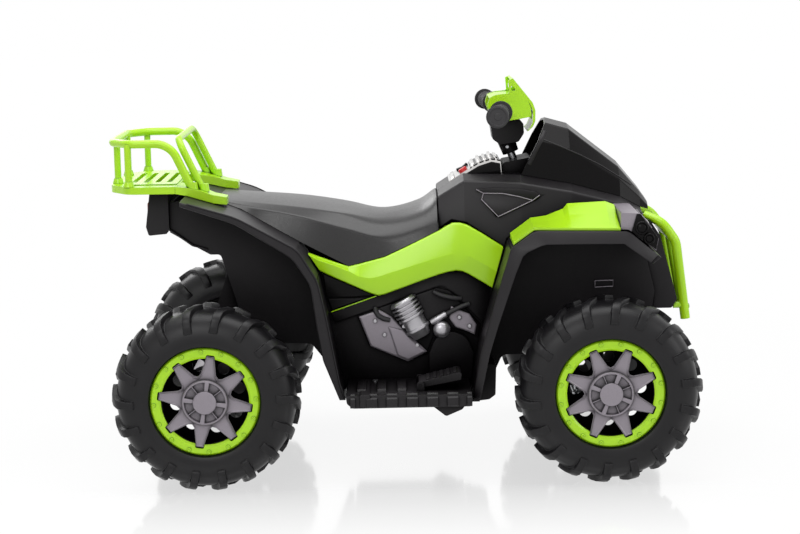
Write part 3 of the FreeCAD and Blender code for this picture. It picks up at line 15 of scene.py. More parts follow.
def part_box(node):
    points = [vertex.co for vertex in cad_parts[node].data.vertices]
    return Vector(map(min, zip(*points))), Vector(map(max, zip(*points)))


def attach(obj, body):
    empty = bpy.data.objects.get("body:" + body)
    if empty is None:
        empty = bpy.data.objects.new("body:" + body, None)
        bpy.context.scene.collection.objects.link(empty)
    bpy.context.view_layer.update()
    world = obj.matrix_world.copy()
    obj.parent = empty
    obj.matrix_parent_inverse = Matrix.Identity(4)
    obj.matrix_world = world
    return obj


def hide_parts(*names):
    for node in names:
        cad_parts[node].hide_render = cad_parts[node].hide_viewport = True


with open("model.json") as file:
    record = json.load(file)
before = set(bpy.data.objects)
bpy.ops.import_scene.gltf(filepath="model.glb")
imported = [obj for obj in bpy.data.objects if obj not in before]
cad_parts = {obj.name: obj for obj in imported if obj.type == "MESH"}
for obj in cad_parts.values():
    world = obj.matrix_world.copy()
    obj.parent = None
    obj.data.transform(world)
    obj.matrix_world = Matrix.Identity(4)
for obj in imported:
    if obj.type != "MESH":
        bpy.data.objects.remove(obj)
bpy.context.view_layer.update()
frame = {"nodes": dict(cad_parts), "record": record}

nodes = frame["nodes"]

# %% [markdown]
# ## The camera
# The wheels in the picture are circles of one known size, so they give the camera's place, turn and lens.
# It stands 3.8 m off the right-hand side, a little above the handlebar, and looks slightly down. The
# picture was trimmed after it was taken, so the lens axis lies a little right of its middle.

# %% Camera
PICTURE_WIDTH = 800
FOCAL_PIXELS = 1892.1
AXIS_OFF_MIDDLE = 30
CAMERA_PLACE = (-0.0059, -3.819, 0.9753)
yaw, pitch, roll = (math.radians(angle) for angle in (0.911, 8.899, -0.976))
ahead = Vector((math.sin(yaw) * math.cos(pitch), math.cos(yaw) * math.cos(pitch), -math.sin(pitch)))
level = Vector((math.cos(yaw), -math.sin(yaw), 0))
upward = level.cross(ahead)
across = math.cos(roll) * level + math.sin(roll) * upward
upright = math.cos(roll) * upward - math.sin(roll) * level
lens = bpy.data.cameras.new("studio_camera")
lens.sensor_width = 36
lens.lens = FOCAL_PIXELS * lens.sensor_width / PICTURE_WIDTH
lens.shift_x = -AXIS_OFF_MIDDLE / PICTURE_WIDTH
camera = bpy.data.objects.new("studio_camera", lens)
bpy.context.scene.collection.objects.link(camera)
turn = Matrix((across, upright, -ahead)).transposed().to_4x4()
camera.matrix_world = Matrix.Translation(CAMERA_PLACE) @ turn
bpy.context.scene.camera = camera
print("lens", round(lens.lens, 2), "mm")

# %% [markdown]
# ## Small tools for the finishes
# A colour is written as the sRGB hex value that a paint chart gives, and shaders want linear light.
# One function turns the first into the second, and one adds a node with its settings and links. Two more
# start a finish with the place on the piece in millimetres, so that every pattern has a real size, and keep
# the finish under the name of its slot.

# %% Colour and node helpers
FINISHES = {}


def linear(code):
    """Linear RGBA of an sRGB hex colour."""
    shares = [int(code[start:start + 2], 16) / 255 for start in (0, 2, 4)]
    light = [share / 12.92 if share <= 0.04045 else ((share + 0.055) / 1.055) ** 2.4 for share in shares]
    return (*light, 1.0)


def node(tree, kind, inputs=(), **settings):
    """A node with its settings; an input is a value, or the node or output socket that feeds it."""
    made = tree.nodes.new(kind)
    for name, value in settings.items():
        setattr(made, name, value)
    for socket, value in dict(inputs).items():
        if isinstance(value, bpy.types.Node):
            value = next(output for output in value.outputs if output.enabled)
        if isinstance(value, bpy.types.NodeSocket):
            tree.links.new(value, made.inputs[socket])
        else:
            made.inputs[socket].default_value = value
    return made


def new_finish(name):
    """An empty material, its node tree, and the Object coordinates in millimetres."""
    material = bpy.data.materials.new(name)
    material.use_nodes = True
    tree = material.node_tree
    tree.nodes.clear()
    place = node(tree, "ShaderNodeTexCoord").outputs["Object"]
    millimetres = node(tree, "ShaderNodeVectorMath", {0: place, "Scale": 1000.0}, operation="SCALE")
    return material, tree, millimetres


def keep_finish(slot, material, shader):
    """The shader becomes the surface of the material, which is kept under its slot name."""
    node(material.node_tree, "ShaderNodeOutputMaterial", {"Surface": shader})
    FINISHES[slot] = material
    print("finish", material.name)


# %% [markdown]
# ## Studio
# The toy was photographed on a glossy white sheet under wide soft boxes. A white floor runs to the horizon,
# and the world is white to the camera and in reflections, so the two meet with no line. The floor still
# takes the shadow of the tyres, and a thin polish mirrors them softly.

# %% What the camera sees of the studio
def seen_itself(tree):
    """1 where the camera sees the studio itself, in a mirror or through a lens; 0 for light on the toy."""
    path = node(tree, "ShaderNodeLightPath").outputs
    seen = node(tree, "ShaderNodeMath", {
        0: path["Is Camera Ray"], 1: path["Is Glossy Ray"]}, operation="MAXIMUM")
    return node(tree, "ShaderNodeMath", {0: seen, 1: path["Is Transmission Ray"]}, operation="MAXIMUM")


# %% Floor
FLOOR_SIZE = 40
bpy.ops.object.select_all(action="DESELECT")
bpy.ops.mesh.primitive_plane_add(size=FLOOR_SIZE, location=(0, 0, 0))
floor = bpy.context.object
floor.name = "studio_floor"
material, tree, millimetres = new_finish("white_acrylic_sheet")
seen = seen_itself(tree)
matt = node(tree, "ShaderNodeBsdfDiffuse", {"Color": linear("f6f6f6")})
glow = node(tree, "ShaderNodeEmission", {"Color": linear("ffffff"), "Strength": 1.0})
reach = node(tree, "ShaderNodeVectorMath", {0: millimetres}, operation="LENGTH")
fade = node(tree, "ShaderNodeMapRange", {
    "Value": reach, "From Min": 600.0, "From Max": 1900.0, "To Min": 0.88, "To Max": 1.0})
share = node(tree, "ShaderNodeMath", {0: seen, 1: fade}, operation="MULTIPLY")
paper = node(tree, "ShaderNodeMixShader", {0: share, 1: matt, 2: glow})
mirror = node(tree, "ShaderNodeBsdfGlossy", {"Color": linear("ffffff"), "Roughness": 0.09})
# The sheet is polished under the toy and worn matt towards the camera, so only the wheels are mirrored.
across_sheet = node(tree, "ShaderNodeSeparateXYZ", {0: millimetres})
polish = node(tree, "ShaderNodeMapRange", {
    "Value": across_sheet.outputs["Y"], "From Min": -640.0, "From Max": -300.0, "To Min": 0.03,
    "To Max": 0.26})
polished = node(tree, "ShaderNodeMixShader", {0: polish, 1: paper, 2: mirror})
node(tree, "ShaderNodeOutputMaterial", {"Surface": polished})
floor.data.materials.append(material)
print("floor", floor.name)

# %% World and lamps
world = bpy.data.worlds.new("studio_world")
bpy.context.scene.world = world
world.use_nodes = True
tree = world.node_tree
tree.nodes.clear()
seen = seen_itself(tree)
room = node(tree, "ShaderNodeBackground", {"Color": linear("ffffff"), "Strength": 0.42})
white = node(tree, "ShaderNodeBackground", {"Color": linear("ffffff"), "Strength": 1.0})
sky = node(tree, "ShaderNodeMixShader", {0: seen, 1: room, 2: white})
node(tree, "ShaderNodeOutputWorld", {"Surface": sky})
LAMPS = (
    ("top_box", (0.0, -0.2, 2.4), (0.0, 0.0, 0.3), (2.6, 1.8), 44.0),
    ("front_box", (-1.0, -3.0, 2.0), (0.0, 0.0, 0.3), (1.8, 1.2), 24.0),
    ("side_box", (2.8, -1.2, 1.3), (0.2, 0.0, 0.35), (1.2, 1.4), 14.0),
    ("back_box", (-1.6, 2.6, 1.8), (0.0, 0.0, 0.3), (2.0, 1.2), 22.0),
)
for name, spot, aim, (wide, tall), watts in LAMPS:
    light = bpy.data.lights.new(name, "AREA")
    light.shape = "RECTANGLE"
    light.size = wide
    light.size_y = tall
    light.energy = watts
    lamp = bpy.data.objects.new(name, light)
    bpy.context.scene.collection.objects.link(lamp)
    lamp.location = spot
    lamp.rotation_euler = (Vector(aim) - Vector(spot)).to_track_quat("-Z", "Y").to_euler()
bpy.context.scene.view_settings.view_transform = "Standard"
print("lamps", len(LAMPS))

# %% [markdown]
# ## Lime polypropylene
# The coloured panels are injection-moulded polypropylene with the pigment in the melt. The tool was polished,
# so the skin is smooth with a faint waviness from shrinkage, and the colour drifts a little with the flow.
# A flat colour would look like paper: slow clouds of two limes and a long shallow bump give the moulding.

# %% Lime polypropylene
material, tree, millimetres = new_finish("lime_polypropylene")
flow = node(tree, "ShaderNodeTexNoise", {"Vector": millimetres, "Scale": 1 / 85, "Detail": 3.0})
# A colour mix takes its two colours at sockets 6 and 7.
fresh = node(tree, "ShaderNodeMix", {0: flow, 6: linear("a4da0c"), 7: linear("b2e41e")}, data_type="RGBA")
# Painted shade: ambient occlusion darkens corners and steps towards a deep lime, so steps get a dark outline.
corner = node(tree, "ShaderNodeAmbientOcclusion", {"Distance": 0.006}, samples=8).outputs["AO"]
corner_shade_mask = node(tree, "ShaderNodeMapRange", {"Value": corner, "From Min": 0.4, "From Max": 0.85})
lime = node(tree, "ShaderNodeMix", {0: corner_shade_mask, 6: linear("4f7a02"), 7: fresh}, data_type="RGBA")
# Shrinkage waves are about 14 mm long; the finer grain of the tool is drawn at 1.6 mm so that it shows.
wave = node(tree, "ShaderNodeTexNoise", {"Vector": millimetres, "Scale": 1 / 14, "Detail": 1.0})
grain = node(tree, "ShaderNodeTexNoise", {"Vector": millimetres, "Scale": 1 / 1.6, "Detail": 2.0})
rough = node(tree, "ShaderNodeMapRange", {"Value": grain, "To Min": 0.18, "To Max": 0.30})
edge = node(tree, "ShaderNodeBevel", {"Radius": 0.0015}, samples=4)
shallow = node(tree, "ShaderNodeBump", {
    "Height": wave, "Strength": 0.25, "Distance": 0.0003, "Normal": edge})
skin = node(tree, "ShaderNodeBump", {
    "Height": grain, "Strength": 0.2, "Distance": 0.00005, "Normal": shallow})
shader = node(tree, "ShaderNodeBsdfPrincipled", {
    "Base Color": lime, "Roughness": rough, "IOR": 1.49, "Normal": skin})
keep_finish("lime_plastic", material, shader)

# %% [markdown]
# ## Black polypropylene
# The tub, fenders and cowl are black polypropylene from a spark-eroded tool, which leaves a fine even grain.
# The grain scatters the soft boxes into a broad grey sheen on every face that looks up, and the colour stays
# a warm black. Handling polishes the grain in slow patches, so the roughness drifts too.

# %% Black polypropylene
material, tree, millimetres = new_finish("black_polypropylene")
patch = node(tree, "ShaderNodeTexNoise", {"Vector": millimetres, "Scale": 1 / 70, "Detail": 4.0})
# Painted shade: ambient occlusion darkens hollows to near black and lowers their sheen; it runs from 0 to 1.
hollow_ao = node(tree, "ShaderNodeAmbientOcclusion", {"Distance": 0.16}, samples=8).outputs["AO"]
hollow_shade_mask = node(tree, "ShaderNodeMapRange", {"Value": hollow_ao, "From Min": 0.35, "From Max": 0.95})
grained = node(tree, "ShaderNodeMix", {
    0: patch, 6: linear("1c1a1c"), 7: linear("262426")}, data_type="RGBA")
black = node(tree, "ShaderNodeMix", {0: hollow_shade_mask, 6: linear("040304"), 7: grained}, data_type="RGBA")
sheen_dimmed_in_hollows = node(tree, "ShaderNodeMapRange", {"Value": hollow_shade_mask, "To Min": 0.03, "To Max": 0.24})
# Spark grain is near 0.2 mm; it is drawn at 1.1 mm so that the picture can show it.
spark = node(tree, "ShaderNodeTexNoise", {"Vector": millimetres, "Scale": 1 / 1.1, "Detail": 3.0})
rough = node(tree, "ShaderNodeMapRange", {"Value": patch, "To Min": 0.32, "To Max": 0.46})
# Moulded edges are rounded to about 1.5 mm, and that rounding is what draws the bright lines.
edge = node(tree, "ShaderNodeBevel", {"Radius": 0.0015}, samples=4)
bump = node(tree, "ShaderNodeBump", {
    "Height": spark, "Strength": 0.35, "Distance": 0.00008, "Normal": edge})
shader = node(tree, "ShaderNodeBsdfPrincipled", {
    "Base Color": black, "Roughness": rough, "IOR": 1.49, "Specular IOR Level": sheen_dimmed_in_hollows, "Normal": bump})
keep_finish("black_plastic", material, shader)

# %% [markdown]
# ## Seat moulding
# The seat is a hard moulding, grained like leather so that it looks soft. Small rounded cells with narrow
# valleys are a Voronoi pattern, and the tops of the cells shine more than the valleys.

# %% Seat moulding
material, tree, millimetres = new_finish("leather_grained_polypropylene")
patch = node(tree, "ShaderNodeTexNoise", {"Vector": millimetres, "Scale": 1 / 60, "Detail": 3.0})
black = node(tree, "ShaderNodeMix", {0: patch, 6: linear("100f10"), 7: linear("171516")}, data_type="RGBA")
cells = node(tree, "ShaderNodeTexVoronoi", {"Vector": millimetres, "Scale": 1 / 2.4}, feature="SMOOTH_F1")
rough = node(tree, "ShaderNodeMapRange", {
    "Value": cells.outputs["Distance"], "From Max": 0.8, "To Min": 0.24, "To Max": 0.40})
bump = node(tree, "ShaderNodeBump", {
    "Height": cells.outputs["Distance"], "Strength": 0.22, "Distance": 0.00012}, invert=True)
shader = node(tree, "ShaderNodeBsdfPrincipled", {
    "Base Color": black, "Roughness": rough, "IOR": 1.49, "Specular IOR Level": 0.5, "Normal": bump})
keep_finish("seat_plastic", material, shader)

# %% [markdown]
# ## Polished black ABS
# The nose is ABS from a polished tool: a deep black with dim, smooth reflections, and only a slow waviness
# where the wall sank a little as it cooled. Fine rub marks break the shine in places.

# %% Polished black ABS
material, tree, millimetres = new_finish("polished_black_abs")
patch = node(tree, "ShaderNodeTexNoise", {"Vector": millimetres, "Scale": 1 / 50, "Detail": 5.0})
black = node(tree, "ShaderNodeMix", {0: patch, 6: linear("080708"), 7: linear("0d0b0c")}, data_type="RGBA")
sink = node(tree, "ShaderNodeTexNoise", {"Vector": millimetres, "Scale": 1 / 30, "Detail": 1.0})
rough = node(tree, "ShaderNodeMapRange", {"Value": patch, "To Min": 0.16, "To Max": 0.32})
edge = node(tree, "ShaderNodeBevel", {"Radius": 0.0015}, samples=4)
bump = node(tree, "ShaderNodeBump", {"Height": sink, "Strength": 0.2, "Distance": 0.0006, "Normal": edge})
shader = node(tree, "ShaderNodeBsdfPrincipled", {
    "Base Color": black, "Roughness": rough, "IOR": 1.53, "Specular IOR Level": 0.1, "Normal": bump})
keep_finish("gloss_black", material, shader)

# %% [markdown]
# ## Moulded foam
# The tyres are closed-cell EVA foam with a moulded skin. The skin has a satin sheen and is nearly black, with
# a pebbled grain and slightly paler clouds where the tyres have been handled.

# %% Moulded foam
material, tree, millimetres = new_finish("moulded_eva_foam")
dust = node(tree, "ShaderNodeTexNoise", {"Vector": millimetres, "Scale": 1 / 45, "Detail": 5.0})
charcoal = node(tree, "ShaderNodeMix", {
    0: dust, 6: linear("0e0d0f"), 7: linear("181719")}, data_type="RGBA")
# Skin cells are under 1 mm; they are drawn at 1.5 mm so that the grain shows.
pebble = node(tree, "ShaderNodeTexVoronoi", {"Vector": millimetres, "Scale": 1 / 1.5}, feature="SMOOTH_F1")
rough = node(tree, "ShaderNodeMapRange", {"Value": dust, "To Min": 0.32, "To Max": 0.46})
edge = node(tree, "ShaderNodeBevel", {"Radius": 0.0018}, samples=4)
bump = node(tree, "ShaderNodeBump", {
    "Height": pebble.outputs["Distance"], "Strength": 0.3, "Distance": 0.00015, "Normal": edge},
    invert=True)
shader = node(tree, "ShaderNodeBsdfPrincipled", {
    "Base Color": charcoal, "IOR": 1.48, "Specular IOR Level": 0.3, "Roughness": rough, "Normal": bump})
keep_finish("tyre_foam", material, shader)

# %% [markdown]
# ## Silver-grey paint
# Hub caps, engine covers and lamp surrounds are sprayed with a grey paint that carries fine metal flakes.
# A small metallic share and a speckle in the colour give the flakes; the paint itself is satin.

# %% Silver-grey paint
material, tree, millimetres = new_finish("silver_grey_paint")
# Flakes are a few hundredths of a millimetre; they are drawn at 0.9 mm so that the speckle shows.
flake = node(tree, "ShaderNodeTexNoise", {"Vector": millimetres, "Scale": 1 / 0.9, "Detail": 2.0})
cloud = node(tree, "ShaderNodeTexNoise", {"Vector": millimetres, "Scale": 1 / 30, "Detail": 3.0})
speckle = node(tree, "ShaderNodeMix", {
    0: flake, 6: linear("7a747b"), 7: linear("9c959d")}, data_type="RGBA")
# Painted shade: ambient occlusion darkens the corners of a relief towards a near black.
recess_shade_ao = node(tree, "ShaderNodeAmbientOcclusion", {"Distance": 0.014}, samples=8).outputs["AO"]
cover = node(tree, "ShaderNodeMapRange", {"Value": recess_shade_ao, "From Min": 0.45, "From Max": 0.92})
paint = node(tree, "ShaderNodeMix", {0: cover, 6: linear("1e1c1f"), 7: speckle}, data_type="RGBA")
rough = node(tree, "ShaderNodeMapRange", {"Value": cloud, "To Min": 0.34, "To Max": 0.48})
edge = node(tree, "ShaderNodeBevel", {"Radius": 0.0009}, samples=4)
bump = node(tree, "ShaderNodeBump", {"Height": flake, "Strength": 0.2, "Distance": 0.00004, "Normal": edge})
shader = node(tree, "ShaderNodeBsdfPrincipled", {
    "Base Color": paint, "Roughness": rough, "Metallic": 0.35, "Normal": bump})
keep_finish("grey_plastic", material, shader)

# %% [markdown]
# ## Bright aluminium paint
# The finned cylinder is picked out with a paint full of coarse aluminium flakes. It is nearly a metal to the
# eye, but the flakes lie unevenly, so the shine is broad and a little streaky.

# %% Bright aluminium paint
material, tree, millimetres = new_finish("bright_aluminium_paint")
flake = node(tree, "ShaderNodeTexNoise", {"Vector": millimetres, "Scale": 1 / 1.2, "Detail": 3.0})
cloud = node(tree, "ShaderNodeTexNoise", {"Vector": millimetres, "Scale": 1 / 16, "Detail": 3.0})
silver = node(tree, "ShaderNodeMix", {0: cloud, 6: linear("9a989c"), 7: linear("bcbabe")}, data_type="RGBA")
rough = node(tree, "ShaderNodeMapRange", {"Value": flake, "To Min": 0.26, "To Max": 0.42})
bump = node(tree, "ShaderNodeBump", {"Height": flake, "Strength": 0.2, "Distance": 0.00005})
shader = node(tree, "ShaderNodeBsdfPrincipled", {
    "Base Color": silver, "Roughness": rough, "Metallic": 0.85, "Normal": bump})
keep_finish("silver_paint", material, shader)

# %% [markdown]
# ## Plated ABS
# The dash face is ABS with vacuum-plated aluminium under lacquer: a mirror that is never quite even. The
# reflection is bright, a touch warm, and slightly hazed by the lacquer.

# %% Plated ABS
material, tree, millimetres = new_finish("vacuum_plated_abs")
haze = node(tree, "ShaderNodeTexNoise", {"Vector": millimetres, "Scale": 1 / 18, "Detail": 4.0})
silver = node(tree, "ShaderNodeMix", {0: haze, 6: linear("c4c2c0"), 7: linear("dcdad8")}, data_type="RGBA")
rough = node(tree, "ShaderNodeMapRange", {"Value": haze, "To Min": 0.12, "To Max": 0.26})
bump = node(tree, "ShaderNodeBump", {"Height": haze, "Strength": 0.15, "Distance": 0.0003})
shader = node(tree, "ShaderNodeBsdfPrincipled", {
    "Base Color": silver, "Roughness": rough, "Metallic": 1.0, "Normal": bump})
keep_finish("plated_plastic", material, shader)

# %% [markdown]
# ## Lamp plastics
# The headlamp lenses are smoked polycarbonate over a plated bowl, moulded with fine vertical flutes. The tail
# lamp is red acrylic with a honeycomb of small prisms on its back. Both are clear to a polished outer face,
# so the pattern shows in the colour and the outer coat stays smooth.

# %% Smoked polycarbonate
material, tree, millimetres = new_finish("smoked_polycarbonate")
axes = node(tree, "ShaderNodeSeparateXYZ", {0: millimetres})
# Flutes stand 3 mm apart across the lens.
flute = node(tree, "ShaderNodeMath", {0: axes.outputs["Y"], 1: math.tau / 3.0}, operation="MULTIPLY")
flute = node(tree, "ShaderNodeMath", {0: flute}, operation="SINE")
depth = node(tree, "ShaderNodeMapRange", {"Value": flute, "From Min": -1.0})
smoke = node(tree, "ShaderNodeMix", {0: depth, 6: linear("2c2b2e"), 7: linear("5a595e")}, data_type="RGBA")
bump = node(tree, "ShaderNodeBump", {"Height": flute, "Strength": 0.3, "Distance": 0.0004})
rough = node(tree, "ShaderNodeMapRange", {"Value": depth, "To Min": 0.10, "To Max": 0.22})
shader = node(tree, "ShaderNodeBsdfPrincipled", {
    "Base Color": smoke, "Roughness": rough, "IOR": 1.58, "Normal": bump, "Coat Weight": 1.0,
    "Coat Roughness": 0.03})
keep_finish("lens_plastic", material, shader)

# %% Red acrylic
material, tree, millimetres = new_finish("red_acrylic")
prism = node(tree, "ShaderNodeTexVoronoi", {"Vector": millimetres, "Scale": 1 / 5.0})
ruby = node(tree, "ShaderNodeMix", {
    0: prism.outputs["Distance"], 6: linear("b81420"), 7: linear("6c0810")}, data_type="RGBA")
bump = node(tree, "ShaderNodeBump", {
    "Height": prism.outputs["Distance"], "Strength": 0.3, "Distance": 0.0006})
rough = node(tree, "ShaderNodeMapRange", {
    "Value": prism.outputs["Distance"], "To Min": 0.12, "To Max": 0.3})
shader = node(tree, "ShaderNodeBsdfPrincipled", {
    "Base Color": ruby, "Roughness": rough, "IOR": 1.49, "Normal": bump, "Coat Weight": 1.0,
    "Coat Roughness": 0.03})
keep_finish("red_lens", material, shader)

# %% [markdown]
# ## Button, battery and grips
# Three small mouldings: a red ABS button with a satin face, a dark grey polypropylene battery case with flow
# clouds, and soft rubber grips whose skin is matt and slightly chalky.

# %% Red ABS
material, tree, millimetres = new_finish("red_abs")
cloud = node(tree, "ShaderNodeTexNoise", {"Vector": millimetres, "Scale": 1 / 8, "Detail": 3.0})
red = node(tree, "ShaderNodeMix", {0: cloud, 6: linear("b81216"), 7: linear("cc1c1e")}, data_type="RGBA")
rough = node(tree, "ShaderNodeMapRange", {"Value": cloud, "To Min": 0.28, "To Max": 0.42})
bump = node(tree, "ShaderNodeBump", {"Height": cloud, "Strength": 0.2, "Distance": 0.0001})
shader = node(tree, "ShaderNodeBsdfPrincipled", {
    "Base Color": red, "Roughness": rough, "IOR": 1.53, "Normal": bump})
keep_finish("red_plastic", material, shader)

# %% Battery case
material, tree, millimetres = new_finish("battery_case_polypropylene")
cloud = node(tree, "ShaderNodeTexNoise", {"Vector": millimetres, "Scale": 1 / 40, "Detail": 3.0})
case = node(tree, "ShaderNodeMix", {0: cloud, 6: linear("26282c"), 7: linear("34363b")}, data_type="RGBA")
grain = node(tree, "ShaderNodeTexNoise", {"Vector": millimetres, "Scale": 1 / 1.4, "Detail": 2.0})
rough = node(tree, "ShaderNodeMapRange", {"Value": cloud, "To Min": 0.44, "To Max": 0.58})
bump = node(tree, "ShaderNodeBump", {"Height": grain, "Strength": 0.3, "Distance": 0.0001})
shader = node(tree, "ShaderNodeBsdfPrincipled", {
    "Base Color": case, "Roughness": rough, "IOR": 1.49, "Normal": bump})
keep_finish("battery_case", material, shader)

# %% Grip rubber
material, tree, millimetres = new_finish("moulded_grip_rubber")
chalk = node(tree, "ShaderNodeTexNoise", {"Vector": millimetres, "Scale": 1 / 20, "Detail": 5.0})
rubber = node(tree, "ShaderNodeMix", {0: chalk, 6: linear("171618"), 7: linear("232124")}, data_type="RGBA")
grain = node(tree, "ShaderNodeTexNoise", {"Vector": millimetres, "Scale": 1 / 1.2, "Detail": 3.0})
rough = node(tree, "ShaderNodeMapRange", {"Value": chalk, "To Min": 0.52, "To Max": 0.70})
bump = node(tree, "ShaderNodeBump", {"Height": grain, "Strength": 0.4, "Distance": 0.00012})
shader = node(tree, "ShaderNodeBsdfPrincipled", {
    "Base Color": rubber, "Roughness": rough, "IOR": 1.52, "Normal": bump})
keep_finish("grip_rubber", material, shader)

# %% [markdown]
# ## Steel
# Axle, steering rod and screws are drawn steel with a thin zinc coat: bright, with fine lines along the draw.
# The axle beam and the handlebar tube are powder coated black, which gives an orange-peel skin.

# %% Zinc-coated steel
material, tree, millimetres = new_finish("zinc_coated_steel")
drawn = node(tree, "ShaderNodeMapping", {"Vector": millimetres, "Scale": (1 / 2.5, 1 / 40, 1 / 2.5)})
lines = node(tree, "ShaderNodeTexNoise", {"Vector": drawn, "Scale": 1.0, "Detail": 4.0})
steel = node(tree, "ShaderNodeMix", {0: lines, 6: linear("9c9da0"), 7: linear("bcbdc0")}, data_type="RGBA")
rough = node(tree, "ShaderNodeMapRange", {"Value": lines, "To Min": 0.24, "To Max": 0.42})
bump = node(tree, "ShaderNodeBump", {"Height": lines, "Strength": 0.2, "Distance": 0.00006})
shader = node(tree, "ShaderNodeBsdfPrincipled", {
    "Base Color": steel, "Roughness": rough, "Metallic": 1.0, "Normal": bump})
keep_finish("bare_steel", material, shader)

# %% Powder-coated steel
material, tree, millimetres = new_finish("black_powder_coat")
# Orange peel is about 1.5 mm across.
peel = node(tree, "ShaderNodeTexNoise", {"Vector": millimetres, "Scale": 1 / 1.5, "Detail": 2.0})
cloud = node(tree, "ShaderNodeTexNoise", {"Vector": millimetres, "Scale": 1 / 40, "Detail": 3.0})
coat = node(tree, "ShaderNodeMix", {0: cloud, 6: linear("151516"), 7: linear("1d1d1f")}, data_type="RGBA")
rough = node(tree, "ShaderNodeMapRange", {"Value": cloud, "To Min": 0.32, "To Max": 0.46})
bump = node(tree, "ShaderNodeBump", {"Height": peel, "Strength": 0.35, "Distance": 0.00012})
shader = node(tree, "ShaderNodeBsdfPrincipled", {
    "Base Color": coat, "Roughness": rough, "IOR": 1.5, "Normal": bump})
keep_finish("black_steel", material, shader)

# %% [markdown]
# ## Dress the solids
# Every solid carries a slot name in the record, and the finishes above are stored under those names. A solid
# that is replaced further down keeps its finish, which does no harm.

# %% Dress the solids
SLOT_OF = {row["node"]: row["material_slot"] for row in frame["record"]["subparts"]}
for name, solid in nodes.items():
    solid.data.materials.clear()
    solid.data.materials.append(FINISHES[SLOT_OF[name]])
print("dressed", len(nodes))

# %% [markdown]
# ## Tools for modelling
# The pieces below start from a ring of points, are shaped in edit mode, and are finished with modifiers.
# These helpers keep the cells short: start and end an edit, draw an outline, pull it through sections, turn
# a profile, apply a modifier, copy a piece to another place with its own mesh, join pieces, smooth them, and
# hand a finished piece, or it and its mirrored twin, to a body.

# %% Starting and ending an edit
MM = 0.001
WELD = 0.02 * MM
X_AXIS, Y_AXIS, Z_AXIS = (Vector(axis) for axis in ((1, 0, 0), (0, 1, 0), (0, 0, 1)))
MIRROR = Matrix.Scale(-1, 4, Y_AXIS)


def alone(piece):
    """Only this piece is selected, and it is the active one."""
    bpy.ops.object.select_all(action="DESELECT")
    bpy.context.view_layer.objects.active = piece
    piece.select_set(True)


def begin_edit(piece, mode="VERT"):
    """Edit mode with the whole piece selected."""
    alone(piece)
    bpy.ops.object.mode_set(mode="EDIT")
    bpy.ops.mesh.select_mode(type=mode)
    bpy.ops.mesh.select_all(action="SELECT")


def end_edit():
    """Doubled points are welded and the faces turned outwards before the edit ends."""
    bpy.ops.mesh.select_all(action="SELECT")
    bpy.ops.mesh.remove_doubles(threshold=WELD)
    bpy.ops.mesh.normals_make_consistent(inside=False)
    bpy.ops.object.mode_set(mode="OBJECT")


def outline(name, points):
    """A circle primitive whose vertices are pulled to the points of an outline, in millimetres."""
    bpy.ops.object.select_all(action="DESELECT")
    bpy.ops.mesh.primitive_circle_add(vertices=len(points), radius=0.01, fill_type="NOTHING")
    piece = bpy.context.object
    piece.name = name
    for vertex, point in zip(piece.data.vertices, points):
        vertex.co = Vector(point) * MM
    return piece


# %% Pulling and turning sections
def pulled_through(name, sections):
    """An outline filled, then extruded from section to section, each with the same number of points."""
    piece = outline(name, sections[0])
    begin_edit(piece)
    bpy.ops.mesh.edge_face_add()
    for section in sections[1:]:
        bpy.ops.mesh.extrude_region_move()
        mesh = bmesh.from_edit_mesh(piece.data)
        fresh = sorted((vertex for vertex in mesh.verts if vertex.select), key=lambda vertex: vertex.index)
        for vertex, point in zip(fresh, section):
            vertex.co = Vector(point) * MM
        bmesh.update_edit_mesh(piece.data)
    end_edit()
    return piece


def turned(name, foot, profile, sides, axis=Y_AXIS, beside=X_AXIS, over=Z_AXIS):
    """A profile of (radius, distance) points turned about an axis through the foot."""
    turns = [math.tau * step / sides for step in range(sides)]
    spokes = [math.cos(turn) * beside + math.sin(turn) * over for turn in turns]
    return pulled_through(name, [[Vector(foot) + axis * distance + radius * spoke for spoke in spokes]
                                 for radius, distance in profile])


# %% Modifiers, copies and joins
def finished_with(piece, kind, **settings):
    """A modifier with its settings, applied at once."""
    tool = piece.modifiers.new(kind.lower(), kind)
    for name, value in settings.items():
        setattr(tool, name, value)
    alone(piece)
    bpy.ops.object.modifier_apply(modifier=tool.name)


def soft_edges(piece, width, above=30, segments=2):
    """Edges sharper than an angle get a bevel."""
    finished_with(piece, "BEVEL", width=width * MM, segments=segments, limit_method="ANGLE",
                  angle_limit=math.radians(above))


def copy_of(piece, name, change):
    """A copy with a mesh of its own, moved, turned or mirrored."""
    alone(piece)
    bpy.ops.object.duplicate()
    made = bpy.context.object
    made.name = name
    made.data.name = name
    made.data.transform(change)
    if change.determinant() < 0:
        made.data.flip_normals()
    return made


def joined(name, parts):
    """The parts as one piece."""
    bpy.ops.object.select_all(action="DESELECT")
    for part in parts:
        part.select_set(True)
    bpy.context.view_layer.objects.active = parts[0]
    bpy.ops.object.join()
    parts[0].name = name
    return parts[0]


def smoothed(piece, degrees):
    """Smooth shading, except over edges sharper than the angle."""
    alone(piece)
    bpy.ops.object.shade_smooth_by_angle(angle=math.radians(degrees))


# %% Handing a piece over
def handed_over(piece, finish, body, *solids):
    """The piece takes its finish and its body, and stands for the solids named."""
    piece.data.materials.clear()
    piece.data.materials.append(FINISHES[finish])
    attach(piece, body)
    if solids:
        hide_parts(*solids)


def both_sides(piece, finish, body="chassis", *solids):
    """The right-hand piece and its mirrored twin are handed over with their solids."""
    twin = copy_of(piece, piece.name.removesuffix("_right") + "_left", MIRROR)
    handed_over(piece, finish, body, *solids)
    handed_over(twin, finish, body, *(name.replace("right", "left") for name in solids))


